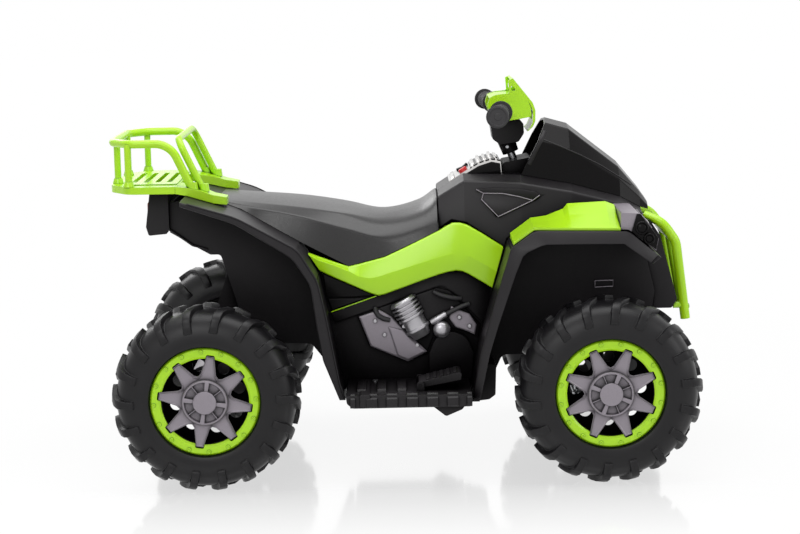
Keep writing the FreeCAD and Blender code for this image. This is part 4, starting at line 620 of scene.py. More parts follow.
# %% Measures of the wheels
rear_hub = (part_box("rear_right_rim")[0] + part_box("rear_right_rim")[1]) / 2
front_hub = (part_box("front_right_rim")[0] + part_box("front_right_rim")[1]) / 2
middle = (rear_hub.x + front_hub.x) / 2 / MM
hub_height = rear_hub.z / MM
half_track = -(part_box("rear_right_tyre")[0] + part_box("rear_right_tyre")[1]).y / 2
print("middle of the wheelbase", round(middle, 2), "hub height", round(hub_height, 2))

# %% [markdown]
# ## Tyre
# A tyre is a soft carcass with chunky L-shaped lugs that run from the shoulder to the middle of the tread.
# The carcass is a profile, given for one half and repeated for the other, spun round the axle. One lug is
# pulled through sections that follow the carcass, its edges are softened, and copies stand round both
# shoulders, half a step apart.

# %% Carcass
half_profile = [(-47, 104.6), (-55, 106.5), (-57.5, 112), (-57.8, 122), (-55.8, 133), (-52.5, 143),
                (-48, 152), (-41.5, 160), (-33, 165.5), (-22, 169.2), (-10, 170.8)]
profile = half_profile + [(-y, radius) for y, radius in reversed(half_profile)]
carcass = outline("carcass", [(0, y, radius) for y, radius in profile])
begin_edit(carcass, "EDGE")
bpy.ops.mesh.spin(steps=90, angle=math.tau, center=(0, 0, 0), axis=(0, 1, 0))
end_edit()
print("carcass faces", len(carcass.data.polygons))

# %% Lug
# Across the tread: y, radius of the foot, height, turn round the axle in degrees, half width.
LUG = ((-57.4, 134.5, 0.8, 0.0, 8.0), (-57.2, 136.5, 2.4, 0.0, 8.0), (-55.2, 147, 3.6, 0.3, 7.6),
       (-52, 154, 4.2, 0.5, 7.4), (-51, 156.0, 5.6, 0.6, 8.2), (-45, 162.0, 7.2, 1.0, 8.4),
       (-36, 167.0, 7.6, 2.0, 8.4), (-26, 170.2, 7.8, 3.8, 8.4), (-15, 171.4, 7.9, 6.6, 8.2),
       (-4, 172.0, 7.9, 8.4, 7.8))
# A lug is rooted 7 mm inside the carcass and is a little narrower on top than at its root.
LUG_ROOT = -7.0
ROOT_SPREAD, TOP_SPREAD = 1.1, 0.9
lug_sections = []
for index, (y, radius, height, angle, wide) in enumerate(LUG):
    before = LUG[max(index - 1, 0)]
    after = LUG[min(index + 1, len(LUG) - 1)]
    along = Vector((after[0] - before[0], after[1] - before[1])).normalized()
    out = Vector((-along.y, along.x))
    corners = []
    for side, lift, spread in ((-1, LUG_ROOT, ROOT_SPREAD), (1, LUG_ROOT, ROOT_SPREAD),
                               (1, height, TOP_SPREAD), (-1, height, TOP_SPREAD)):
        reach = radius + out.y * lift
        swing = math.radians(angle) + side * wide * spread / reach
        corners.append((math.sin(swing) * reach, y + out.x * lift, math.cos(swing) * reach))
    lug_sections.append(corners)
lug = pulled_through("lug", lug_sections)
soft_edges(lug, 1.2, 40)
print("lug faces", len(lug.data.polygons))

# %% Tread
LUG_COUNT = 18
tread = [carcass]
for step in range(LUG_COUNT):
    for side, half_step in ((Matrix.Identity(4), 0.0), (MIRROR, 0.5)):
        swing = Matrix.Rotation(math.tau * (step + half_step) / LUG_COUNT, 4, "Y")
        tread.append(copy_of(lug, "lug_copy", swing @ side))
bpy.data.objects.remove(lug)
tyre = joined("tyre", tread)
smoothed(tyre, 38)
print("tread pieces", len(tread))

# %% Four tyres
# The turn in degrees at which each wheel stands at rest.
REST_TURN = {"rear": 8.6, "front": 22.5}
WHEELS = {}
for end, hub in (("rear", rear_hub), ("front", front_hub)):
    for hand, sign, face in (("right", -1, 0.0), ("left", 1, math.pi)):
        place = Matrix.Translation((hub.x, sign * half_track, hub.z))
        rolled_on = Matrix.Rotation(math.radians(REST_TURN[end]), 4, "Y")
        WHEELS[f"{end}_{hand}"] = place @ Matrix.Rotation(face, 4, "Z") @ rolled_on


def on_each_wheel(piece, name, finish, along_axle=0.0, solid=""):
    """A copy of the piece for every wheel, in place of the wheel's own solid where one is named."""
    for wheel, place in WHEELS.items():
        fitted = copy_of(piece, f"{wheel}_{name}", place @ Matrix.Translation((0, along_axle, 0)))
        handed_over(fitted, finish, f"{wheel}_wheel", *([f"{wheel}_{solid}"] if solid else []))
    bpy.data.objects.remove(piece)


on_each_wheel(tyre, "moulded_tyre", "tyre_foam", solid="tyre")
print("tyres", len(WHEELS))

# %% [markdown]
# ## Hub cap
# The cap is an eight-pointed star with a raised crown. The star is one outline, filled and stepped up with
# insets, so that each point gets a flat top and sloped flanks. The crown is a disc pulled up and down through
# its own dish, and eight ribs, every second one broad, cross the dish.

# %% Star of the cap
SPOKES = 8
# Radius, and turn in degrees, of the five corners that make one point of the star.
STAR_CORNERS = ((50, -22.5), (54, -15.5), (88, -4.6), (88, 4.6), (54, 15.5))
PLATE_THICK, POINT_RISE = 5.0, 3.5
PLATE_BORDER, POINT_SLOPE = 2.0, 2.2
star_points = []
for step in range(SPOKES):
    for radius, offset in STAR_CORNERS:
        angle = math.radians(360 / SPOKES * step + offset)
        star_points.append((math.sin(angle) * radius, 0, math.cos(angle) * radius))
star = outline("star", star_points)
begin_edit(star)
bpy.ops.mesh.edge_face_add()
bpy.ops.mesh.extrude_region_move(TRANSFORM_OT_translate={"value": (0, -PLATE_THICK * MM, 0)})
bpy.ops.mesh.select_mode(type="FACE")
bpy.ops.mesh.inset(thickness=PLATE_BORDER * MM, depth=0)
bpy.ops.mesh.extrude_region_move(TRANSFORM_OT_translate={"value": (0, -POINT_RISE * MM, 0)})
bpy.ops.mesh.inset(thickness=POINT_SLOPE * MM, depth=POINT_SLOPE * MM)
end_edit()
soft_edges(star, 0.6)
print("star faces", len(star.data.polygons))

# %% Crown and ribs
# Radius and distance out of the points of the crown, from its foot over the rim and the dish to the hub.
CROWN = ((43.5, -5.0), (43.0, -12.0), (41.5, -14.0), (39.5, -14.0), (37.5, -8.5), (24.5, -7.0), (22.5, -7.5),
         (22.0, -15.0), (21.2, -15.8))
BROAD_RIB, THIN_RIB = 4.5, 0.8
RIB_CORNERS = ((-1, -6.2), (1, -6.2), (1, -14.2), (-1, -14.2))
crown = turned("crown", (0, 0, 0), CROWN, 32, beside=Z_AXIS, over=X_AXIS)
cap_parts = [star, crown]
for step in range(SPOKES):
    wide = BROAD_RIB if step % 2 == 0 else THIN_RIB
    rib = pulled_through("rib", [[(side * wide * taper, y, z) for side, y in RIB_CORNERS]
                                 for z, taper in ((21.0, 0.72), (41.0, 1.0))])
    soft_edges(rib, 0.6)
    rib.data.transform(Matrix.Rotation(math.tau * step / SPOKES, 4, "Y"))
    cap_parts.append(rib)
cap = joined("cap", cap_parts)
smoothed(cap, 28)
back_of_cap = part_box("rear_right_cap")[1].y + half_track
on_each_wheel(cap, "star_cap", "grey_plastic", back_of_cap, "cap")
print("back of the cap", round(back_of_cap / MM, 2), "mm")

# %% [markdown]
# ## Bolt heads of the ring
# Sixteen dished bolt heads hold the lime ring on the rim. They could be left as the flat discs of the solid,
# but a raised rim catches the light on each. One head is a profile turned about its own axis; copies stand
# round the wheel and are joined, so that each wheel gets one piece.

# %% Bolt heads of the ring
BOLT_COUNT, BOLT_CIRCLE = 16, 96.5
BOLT = ((3.9, 2.1), (3.9, -0.3), (3.4, -1.0), (2.2, -1.0), (1.8, -0.3), (0.6, -0.2))
face_of_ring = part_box("rear_right_ring")[0].y + half_track
bolts = [turned("bolt_head", (0, 0, BOLT_CIRCLE), BOLT, 18)]
for step in range(1, BOLT_COUNT):
    bolts.append(copy_of(bolts[0], "bolt_copy", Matrix.Rotation(math.tau * step / BOLT_COUNT, 4, "Y")))
bolt_ring = joined("bolt_ring", bolts)
bolt_ring.data.transform(Matrix.Rotation(math.pi / BOLT_COUNT, 4, "Y"))
smoothed(bolt_ring, 35)
on_each_wheel(bolt_ring, "ring_bolts", "lime_plastic", face_of_ring)
print("face of the ring", round(face_of_ring / MM, 2), "mm")

# %% [markdown]
# ## Side panel
# Each lime panel sweeps from the rear fender to the front one, with one crease along its length: above it the
# face leans in and catches the top light, below it the face is upright and deeper in colour. A section of
# seven points is pulled along the panel through its top line, its crease and its lower line.

# %% Side panel
# Forward of the middle and above the axle: top line, crease and lower line.
PANEL = (
    ((-190, 254), (-189, 252.5), (-187, 250)), ((-169, 246), (-171, 242), (-169, 220.5)),
    ((-140, 235), (-140, 231), (-140, 206)), ((-112, 225.5), (-112, 219), (-114, 194)),
    ((-90, 230.3), (-91, 207.5), (-90, 182.7)), ((-72, 234.8), (-70, 203.5), (-68, 173)),
    ((-56, 238.8), (-52, 207), (-53, 168.4)), ((-40, 242.8), (-36, 212), (-38, 172.4)),
    ((0, 261), (4, 224), (4, 187)), ((30, 275), (34, 233), (34, 197.7)),
    ((66, 292.4), (67, 243), (66, 208.4)), ((80, 301), (87, 248), (84, 213)),
    ((94, 307.6), (98, 249.4), (99, 215.2)), ((108, 307.2), (110, 248.6), (111, 213.6)),
    ((122, 303), (126, 243.6), (122, 208.6)), ((150, 286.2), (150, 229.5), (145, 194.5)),
    ((191.5, 259), (178, 212), (169, 179.4)),
)
PANEL_BACK, PANEL_ROUND = -146, 2.4
panel_sections = []
for top, crease, low in PANEL:
    drop = min(PANEL_ROUND, 0.12 * (top[1] - low[1]))
    section = [(*top, PANEL_BACK), (*top, -156), (top[0], top[1] - drop, -159), (*crease, -170),
               (low[0], low[1] + drop, -169.4), (*low, -166), (*low, PANEL_BACK)]
    panel_sections.append([(x + middle, y, z + hub_height) for x, z, y in section])
panel = pulled_through("panel_moulding_right", panel_sections)
soft_edges(panel, 1.6, 14, 3)
smoothed(panel, 14)
both_sides(panel, "lime_plastic", "chassis", "side_panel_right")
print("panel faces", len(panel.data.polygons))

# %% [markdown]
# ## Engine relief
# Behind the frame sits a make-believe engine: a finned cylinder that leans forward, a crankcase block, a bulb
# and a pipe. One round bar with fins would do from afar, but the light picks out each fin, so the cylinder is
# a rounded section pulled down its axis and widened at every fin. The plates are outlines, raised and inset.

# %% Engine helpers
FLANK = -146.0
HOSE_SIDES = 16


def raised_plate(name, points, foot, height, step, rise):
    """An outline of points forward of the middle and above the floor, filled, raised outwards, then inset
    and raised again, so that it gets a sloped border."""
    plate = outline(name, [(x + middle, foot, z) for x, z in points])
    begin_edit(plate)
    bpy.ops.mesh.edge_face_add()
    bpy.ops.mesh.extrude_region_move(TRANSFORM_OT_translate={"value": (0, -height * MM, 0)})
    bpy.ops.mesh.select_mode(type="FACE")
    bpy.ops.mesh.inset(thickness=step * MM, depth=0)
    bpy.ops.transform.translate(value=(0, -rise * MM, 0))
    end_edit()
    soft_edges(plate, 0.7, 20)
    smoothed(plate, 25)
    return plate


def hose(name, run, radii):
    """A round section pulled along (x, y, z) points forward of the wheelbase middle, a radius at each."""
    spots = [Vector((x + middle, y, z)) for x, y, z in run]
    rings = []
    for index, (spot, radius) in enumerate(zip(spots, radii)):
        along = (spots[min(index + 1, len(spots) - 1)] - spots[max(index - 1, 0)]).normalized()
        side = along.cross(Y_AXIS).normalized()
        over = side.cross(along)
        turns = [math.tau * step / HOSE_SIDES for step in range(HOSE_SIDES)]
        rings.append([spot + radius * (math.cos(turn) * side + math.sin(turn) * over) for turn in turns])
    piece = pulled_through(name, rings)
    smoothed(piece, 40)
    return piece


# %% Recess plate and crankcase
recess = raised_plate("engine_recess", [
    (-97, 306), (60, 358.5), (85, 353), (146, 284), (141, 258), (121, 268), (87, 278), (54, 267), (41.5, 234),
    (40.5, 226), (0.5, 211.5), (-73.5, 243.5)], FLANK, 1.2, 2.5, 0.8)
crankcase = raised_plate("crankcase", [
    (-94, 304.5), (-53.3, 318), (-29.8, 303.9), (-6, 279), (14, 258), (40, 232), (1.2, 213), (-71.8, 245)],
    FLANK - 1.5, 4.0, 3.0, 2.0)
cover_plate = raised_plate("crankcase_cover", [
    (-36, 284), (-8, 277), (10, 256.5), (36, 232.5), (2, 216.5), (-19, 226)], FLANK - 6.0, 3.0, 3.0, 1.6)
inlet_block = raised_plate("inlet_block", [
    (88, 322), (124, 306), (138, 284), (134, 264), (122, 270), (96, 280), (84, 298)],
    FLANK - 1.5, 3.0, 3.0, 1.5)
print("plates", [plate.name for plate in (recess, crankcase, cover_plate, inlet_block)])

# %% Finned cylinder
FIN_PITCH, FIN_COUNT = 8, 4
FIN = ((4, 28), (7.5, 28), (7.6, 20.5), (11.9, 20.5))
cylinder_head = Vector((-9 + middle, 337))
cylinder_foot = Vector((31 + middle, 262))
axis = (cylinder_foot - cylinder_head).normalized()
beside = Vector((-axis.y, axis.x))
# Distance down the axis and half width: the head, four fins, and the foot with its collars.
STACK = [(0, 24), (3, 26)]
for fin in range(FIN_COUNT):
    STACK += [(start + FIN_PITCH * fin, wide) for start, wide in FIN]
STACK += [(36, 27), (41, 27), (42, 23), (62, 22), (63, 25), (68, 25), (69, 22), (84, 17)]
HALF_ROUND = ((-1.0, 0.0), (-1.0, 0.35), (-0.86, 0.68), (-0.52, 0.92), (0.0, 1.0), (0.52, 0.92), (0.86, 0.68),
              (1.0, 0.35), (1.0, 0.0))
cylinder_sections = []
for distance, wide in STACK:
    spot = cylinder_head + axis * distance
    cylinder_sections.append([(spot.x + beside.x * wide * share, FLANK - 2 - 0.8 * wide * bulge,
                               spot.y + beside.y * wide * share) for share, bulge in HALF_ROUND])
cylinder = pulled_through("finned_cylinder", cylinder_sections)
soft_edges(cylinder, 0.5, 35)
smoothed(cylinder, 32)
BULB = ((17, -147), (17, -156), (15.5, -160), (12, -163.5), (7, -165.6), (2, -166.4))
bulb = turned("crank_bulb", (69 + middle, 0, 276), BULB, 28)
smoothed(bulb, 40)
print("cylinder faces", len(cylinder.data.polygons))

# %% Pipes and their sleeves
PIPES = {
    "inlet_sleeve": ([(48, -154, 290.5), (50, -154, 291.7), (76, -154, 306), (78, -154, 307)],
                     [5.6, 6.6, 6.6, 5.6]),
    "inlet_pipe": ([(74, -154, 305), (96, -154, 316), (110, -153, 322), (124, -149, 326)], [4.6] * 4),
    "breather_hose": ([(54, -150, 352), (66, -153, 346), (82, -153, 341), (98, -152, 338), (108, -149, 337)],
                      [4.2, 4.6, 4.6, 4.6, 4.2]),
    "coolant_hose": ([(-62, -149, 322), (-60, -153, 314), (-55, -154, 306), (-45, -154, 300),
                      (-33, -153, 297)], [4.6, 5, 5, 5, 4.6]),
}
sleeve, pipe, breather, bent = (hose(name, *shape) for name, shape in PIPES.items())
STUD = ((4.2, -150), (4.2, -156), (3.4, -157))
studs = []
for x, z in ((-62, 296), (-44, 268), (-6, 284), (20, 246), (56, 297), (104, 300), (124, 282)):
    studs.append(turned("engine_stud", (x + middle, 0, z), STUD, 6))
    soft_edges(studs[-1], 0.4, 20)
dark = joined("engine_hoses", [pipe, breather, bent])
bright = joined("engine_silver", [cylinder, bulb, sleeve] + studs)
greys = joined("engine_castings", [crankcase, cover_plate, inlet_block])
both_sides(recess, "black_plastic", "chassis", "engine_cover_right")
for piece, finish in ((greys, "grey_plastic"), (bright, "silver_paint"), (dark, "grip_rubber")):
    both_sides(piece, finish)
print("engine pieces", recess.name, greys.name, bright.name, dark.name)

# %% [markdown]
# ## Frame of the engine bay
# A black flange runs under the lime panel and round the engine, and its lower edge throws a bright line.
# Behind it, under the rear end of the panel, lie a dark strip, a facet and one thin lime bead. The flange is
# a five-point section pulled along the panel, strip and facet are raised plates, and the bead is a narrow
# section with soft edges.

# %% Flange
# Forward of the middle and above the floor: upper and lower edge of the flange.
FLANGE = (
    ((-149, 313), (-139, 293)), ((-100, 329.5), (-92, 308.8)), ((-58, 343.6), (-51, 322.7)),
    ((4, 365.6), (0, 340)), ((65, 387.2), (54, 358.2)), ((82, 391.5), (64, 361)), ((99, 394), (74, 360.6)),
    ((120, 389), (92, 350)), ((146, 372), (124, 315.6)), ((167, 357), (154, 283.4)),
)
FLANGE_BACK, RIDGE_SHARE = -145.4, 0.88
flange_sections = []
for top, low in FLANGE:
    ridge = [(1 - RIDGE_SHARE) * upper + RIDGE_SHARE * lower for upper, lower in zip(top, low)]
    flange_sections.append([(x + middle, y, z) for (x, z), y in (
        (top, FLANGE_BACK), (top, -148.2), (ridge, -150.4), (low, -149.0), (low, FLANGE_BACK))])
flange = pulled_through("bay_flange", flange_sections)
soft_edges(flange, 0.6, 20)
smoothed(flange, 22)
print("flange faces", len(flange.data.polygons))

# %% Strip, facet and bead
strip = raised_plate("flank_strip", [(-163, 392), (-66, 347.5), (-99, 344), (-157, 344)],
                     FLANK, 1.4, 1.5, 0.5)
facet = raised_plate("flank_facet", [(-156, 341.5), (-99, 342.5), (-66, 344.5), (-147, 317)],
                     FLANK, 1.0, 2.5, 1.6)
BEAD_CORNERS = ((FLANGE_BACK, 0), (-149.4, 0), (-149.4, 2.4), (FLANGE_BACK, 2.4))
bead = pulled_through("lime_bead", [[(x + middle, y, z + rise) for y, rise in BEAD_CORNERS]
                                    for x, z in ((-148.5, 313.4), (-103, 328.6), (-58, 343.9))])
soft_edges(bead, 0.6, 30)
smoothed(bead, 40)
for piece, finish in ((flange, "black_plastic"), (strip, "gloss_black"), (facet, "black_plastic"),
                      (bead, "lime_plastic")):
    both_sides(piece, finish)
print("bay", flange.name, strip.name, facet.name, bead.name)

# %% [markdown]
# ## Footboard treads
# The edge of each footboard is a row of blocks with sloped tops, so that a shoe finds a hold and the light
# falls on every second field. A block is one section pulled along the board and softened, then copied at
# the pitch of the ribs; a second row of broad, flat blocks stands further in on the tread.

# %% Footboard treads
BLOCK_PITCH = 38.7
EDGE_BLOCK = ((-280, 176), (-283, 180.5), (-292, 180.5), (-304, 172), (-304, 157), (-301, 154.5),
              (-296, 154.5))
INNER_BLOCK = ((-176, 176), (-178, 183), (-262, 183), (-268, 176))


def tread_row(name, section, starts, length):
    """Copies of one block, each a section of (y, z) points pulled along the board."""
    block = pulled_through("tread_block", [[(x, y, z) for y, z in section] for x in (0.0, length)])
    soft_edges(block, 1.0, 30)
    smoothed(block, 25)
    row = [copy_of(block, "tread_copy", Matrix.Translation(((middle + start) * MM, 0, 0)))
           for start in starts]
    bpy.data.objects.remove(block)
    return joined(name, row)


edge_row = tread_row("edge_treads", EDGE_BLOCK, [-80.4 + BLOCK_PITCH * step for step in range(5)], 21.5)
end_row = tread_row("end_treads", EDGE_BLOCK, [-111.0, 112.0], 10.0)
inner_row = tread_row("inner_treads", INNER_BLOCK, [-98.0 + BLOCK_PITCH * step for step in range(3)], 17.5)
treads = joined("footboard_treads", [edge_row, end_row, inner_row])
both_sides(treads, "black_plastic")
print("treads", len(treads.data.polygons))

# %% [markdown]
# ## Seat
# The seat is one smooth moulding with two creases on each side that are crisp behind and melt away in front.
# A loft through a few flat sections would show facets, so the section is worked out at every 8 mm: its height
# and width run on a smooth curve through the stations, and each corner is rounded with its own radius.

# %% Stations and curves of the seat
# Forward of the middle, then base, fold, crease and top above the axle, width at the fold and at the base.
SEAT = ((-368, 354.4, 355.4, 356.6, 357.4, 96, 99), (-320, 339.6, 347, 351, 353.5, 118, 126),
        (-205, 275.8, 325, 339, 341.5, 141, 150), (-112, 226, 298, 324, 325.5, 143, 150),
        (-40, 244, 281, 309, 316.5, 144, 150), (30, 276, 302, 324, 332.5, 139, 148.5),
        (66, 293, 318, 345, 357, 131, 145.5))


def between(table, place):
    """Row of a table at a place, on a cubic through its rows; the second column runs straight."""
    last = len(table) - 1
    start = max(index for index in range(last) if table[index][0] <= place or index == 0)
    reach = table[start + 1][0] - table[start][0]
    share = (place - table[start][0]) / reach
    row = []
    for column in range(1, len(table[0])):
        ends = [table[index][column] for index in (start, start + 1)]
        slopes = []
        for index in (start, start + 1):
            low, high = max(index - 1, 0), min(index + 1, last)
            run = table[high][0] - table[low][0]
            slopes.append(reach * (table[high][column] - table[low][column]) / run)
        if column == 1:
            slopes = [ends[1] - ends[0]] * 2
        squared, cubed = share ** 2, share ** 3
        row.append((2 * cubed - 3 * squared + 1) * ends[0] + (cubed - 2 * squared + share) * slopes[0]
                   + (3 * squared - 2 * cubed) * ends[1] + (cubed - squared) * slopes[1])
    return row


def rounded_corners(points, radii, steps=6):
    """A run of points whose inner corners are replaced by short curves."""
    run = [Vector(points[0])]
    for index, radius in enumerate(radii, 1):
        before, corner, after = (Vector(points[index + step]) for step in (-1, 0, 1))
        start = corner + (before - corner).normalized() * min(radius, 0.45 * (before - corner).length)
        end = corner + (after - corner).normalized() * min(radius, 0.45 * (after - corner).length)
        for step in range(steps):
            share = step / (steps - 1)
            run.append((1 - share) ** 2 * start + 2 * share * (1 - share) * corner + share ** 2 * end)
    return run + [Vector(points[-1])]


print("seat stations", len(SEAT))

# %% Seat
SEAT_STEP = 8
FRONT_TUCK = {64: 0.8, 66: 3.0}
FOLD_MELTS, CREASE_MELTS, MELT_LENGTH = -70, -130, 110
seat_places = list(range(SEAT[0][0], 60, SEAT_STEP)) + [60, 64, 66]
seat_sections = []
for place in seat_places:
    base, fold, crease, top, wide, flare = between(SEAT, place)
    tuck = FRONT_TUCK.get(place, 0.0)
    fold_melt, crease_melt = (min(max((place - start) / MELT_LENGTH, 0.0), 1.0)
                              for start in (FOLD_MELTS, CREASE_MELTS))
    corners = [(-flare + tuck, base), (-wide + tuck, fold - tuck), (-0.77 * wide + tuck, crease - tuck),
               (-51, top - tuck), (0, top + 1 - tuck)]
    half = rounded_corners(corners, [4 + 25 * fold_melt, 5 + 27 * crease_melt, 40])
    ring = [(side.x, side.y) for side in half] + [(-side.x, side.y) for side in reversed(half[:-1])]
    seat_sections.append([(place + middle, y, z + hub_height) for y, z in ring])
seat = pulled_through("seat_moulding", seat_sections)
smoothed(seat, 40)
handed_over(seat, "seat_plastic", "chassis", "seat")
print("seat faces", len(seat.data.polygons))

# %% [markdown]
# ## Lines and facets of the front
# Edges that catch the light draw the front of the toy: the crease and the rear frame of the nose, and the rim
# and inner fold of a scoop in the cowl. They could be cut into the solids, but a bead of a millimetre shows
# the same line. A bead finds the surface under it with a ray, so it lies on the solid wherever that bends.

# %% Beads that follow a solid
# Rays start outside the right-hand side, in metres; a bead takes a new point every 9 mm.
RAY_START = -0.6
BEAD_STEP = 9
BEAD_ARCH = ((-0.5, -0.8), (-0.5, 0.3), (-0.25, 0.9), (0, 1), (0.25, 0.9), (0.5, 0.3), (0.5, -0.8))


def on_face(solid, x, z):
    """Point and normal of the right-hand face of a solid, in millimetres."""
    to_world = nodes[solid].matrix_world
    start = to_world.inverted() @ Vector(((x + middle) * MM, RAY_START, z * MM))
    found, spot, normal, _ = nodes[solid].ray_cast(start, Y_AXIS)
    if not found:
        raise ValueError(f"no face of {solid} at {x}, {z}")
    return to_world @ spot / MM, normal.normalized()


def bead_on(name, solid, line, wide, high):
    """A low rounded bead along a line of (x, z) points on a solid."""
    spots = []
    for (x, z), (far_x, far_z) in zip(line, line[1:]):
        steps = max(int(math.hypot(far_x - x, far_z - z) / BEAD_STEP), 1)
        spots += [on_face(solid, x + (far_x - x) * step / steps, z + (far_z - z) * step / steps)
                  for step in range(steps)]
    spots.append(on_face(solid, *line[-1]))
    rings = []
    for index, (spot, normal) in enumerate(spots):
        along = (spots[min(index + 1, len(spots) - 1)][0] - spots[max(index - 1, 0)][0]).normalized()
        aside = normal.cross(along).normalized() * wide
        rings.append([spot + aside * share + normal * high * rise for share, rise in BEAD_ARCH])
    piece = pulled_through(name, rings)
    smoothed(piece, 50)
    return piece


def slab(name, corners, depth):
    """A plate through corners given forward of the wheelbase middle, as deep as told, with soft edges."""
    plate = outline(name, [(x + middle, y, z) for x, y, z in corners])
    begin_edit(plate)
    bpy.ops.mesh.edge_face_add()
    bpy.ops.mesh.extrude_region_move(TRANSFORM_OT_translate={"value": (0, depth * MM, 0)})
    end_edit()
    soft_edges(plate, 0.5, 30)
    smoothed(plate, 30)
    return plate


# %% Lines of the nose
nose_crease = bead_on("nose_crease", "nose_fairing", [
    (276, 642), (310, 628), (350, 609.5), (391, 588), (430, 563), (455, 545)], 3.4, 1.2)
nose_frame = bead_on("nose_frame", "nose_fairing", [(249, 592), (262, 619), (272, 639), (282, 657)], 8.0, 1.6)
both_sides(joined("nose_lines", [nose_crease, nose_frame]), "black_plastic")
print("nose lines", nose_crease.name)

# %% Scoop of the cowl
# The side of the cowl is a plane that leans in: its normal and its distance, read off the solid.
COWL_NORMAL, COWL_REACH = (0.06, 0.97, -0.25), 241.9


def flank(x, z, lift):
    """Point on the leaning side of the cowl, lifted off it."""
    return x, -(COWL_REACH + COWL_NORMAL[0] * x + COWL_NORMAL[2] * z) / COWL_NORMAL[1] - lift, z


# Forward of the middle, above the floor, and lifted off the side of the cowl.
SCOOP_ROOF = ((142, 548.5, 3.4), (178, 550.5, 3.6), (222, 549, 3.6), (258, 543, 3.2), (266, 536, 2.2),
              (252, 526, 0.7), (226, 533.5, 0.5), (194, 540, 0.5), (156, 541, 0.6))
SCOOP_FLOOR = ((156, 541, 0.6), (194, 540, 0.5), (226, 533.5, 0.5), (252, 526, 0.7), (184, 496, 2.6),
               (152, 529, 1.6))
SCOOP_EDGE = ((142, 548.5, 3.4), (156, 541, 0.8), (152, 529, 1.8), (184, 496, 2.8), (252, 526, 1.2),
              (266, 536, 2.4))
SCOOP_FOLD = ((156, 541, 0.8), (194, 540, 0.7), (226, 533.5, 0.7), (252, 526, 1.0))
SCOOP_DEPTH, RIM_RADIUS = 4.0, 1.1
scoop = [slab(name, [flank(*point) for point in corners], SCOOP_DEPTH)
         for name, corners in (("scoop_roof", SCOOP_ROOF), ("scoop_floor", SCOOP_FLOOR))]
both_sides(joined("cowl_scoop", scoop), "black_plastic")
# The rim and fold are round beads in pale grey paint: a painted highlight on edges of the black cowl.
scoop_highlight_lines = [hose(name, [flank(*point) for point in run], [RIM_RADIUS] * len(run))
             for name, run in (("scoop_edge", SCOOP_EDGE), ("scoop_fold", SCOOP_FOLD))]
both_sides(joined("scoop_rim_highlight", scoop_highlight_lines), "grey_plastic")
print("scoop pieces", len(scoop), "rim lines", len(scoop_highlight_lines))

# %% [markdown]
# ## Fender lips
# The edge of each front fender is turned out in a band that widens downwards, so it takes the light from
# above and stands out against the dark wheel well. It is a four-point section pulled along the arch.

# %% Fender lips
# Forward of the middle and above the floor: upper and lower edge of the band.
LIP = (
    ((124, 165), (138, 165)), ((132, 205), (147.5, 205)), ((140.5, 247), (157, 250)),
    ((155, 300), (174, 305)), ((170.5, 352), (193.5, 362)), ((184, 402), (208, 404)),
    ((200, 448), (222, 438)), ((209, 459), (231, 446)), ((240, 481), (257, 457.5)),
    ((252, 484), (268, 460)), ((330, 482.6), (335, 459.6)), ((421, 480.6), (414, 458.6)),
    ((432, 474.6), (423, 452)), ((480, 434.8), (464, 422)),
)
LIP_BACK, LIP_UPPER, LIP_LOWER = -268, -275.6, -286.5
lip = pulled_through("fender_lip", [[(x + middle, y, z) for (x, z), y in (
    (top, LIP_BACK), (top, LIP_UPPER), (low, LIP_LOWER), (low, LIP_BACK))] for top, low in LIP])
soft_edges(lip, 1.2, 30)
smoothed(lip, 24)
both_sides(lip, "black_plastic")
print("lip faces", len(lip.data.polygons))

# %% [markdown]
# ## Lamp cluster
# Beside the grille the lamp surround turns the corner, and on its side a black cheek carries two round lamps,
# one above the other. The cheek is a plate, and each lamp is a turned profile laid on it.

# %% Lamp cluster
CHEEK_FACE = -268.6
cheek = slab("lamp_cheek", [(x, CHEEK_FACE, z) for x, z in (
    (440, 513), (447, 513), (481, 467), (477, 445), (430, 479))], 3.0)
both_sides(cheek, "gloss_black")
lamps = []
for x, z, radius in ((449, 487, 13.0), (463, 466, 11.0)):
    shape = ((radius, -268), (radius, -273.5), (radius - 1.2, -275), (radius - 3, -275), (radius - 4, -272.6),
             (0.5 * radius, -274.6), (1.0, -275.4))
    lamps.append(turned("cheek_lamp", (x + middle, 0, z), shape, 32))
    smoothed(lamps[-1], 35)
both_sides(joined("cheek_lamps", lamps), "gloss_black")
print("lamp cluster", cheek.name, len(lamps), "lamps")

# %% [markdown]
# ## Dash relief
# The dash carries a row of plated ribs that look like the fins of an instrument pod, with dark gaps between
# them and dark cheeks beside them. Each rib is a low trapezoid pulled across the dash, narrower at its ends.

# %% Line of the dash
DASH_LINE = ((90, 559), (150, 595), (176, 602.5), (194, 599))


def dash_top(x):
    """Height of the dash above the floor at a place forward of the middle."""
    for (low_x, low_z), (high_x, high_z) in zip(DASH_LINE, DASH_LINE[1:]):
        if x <= high_x:
            return low_z + (high_z - low_z) * (x - low_x) / (high_x - low_x)
    return DASH_LINE[-1][1]


print("height of the dash at its first rib", round(dash_top(98), 1), "mm")

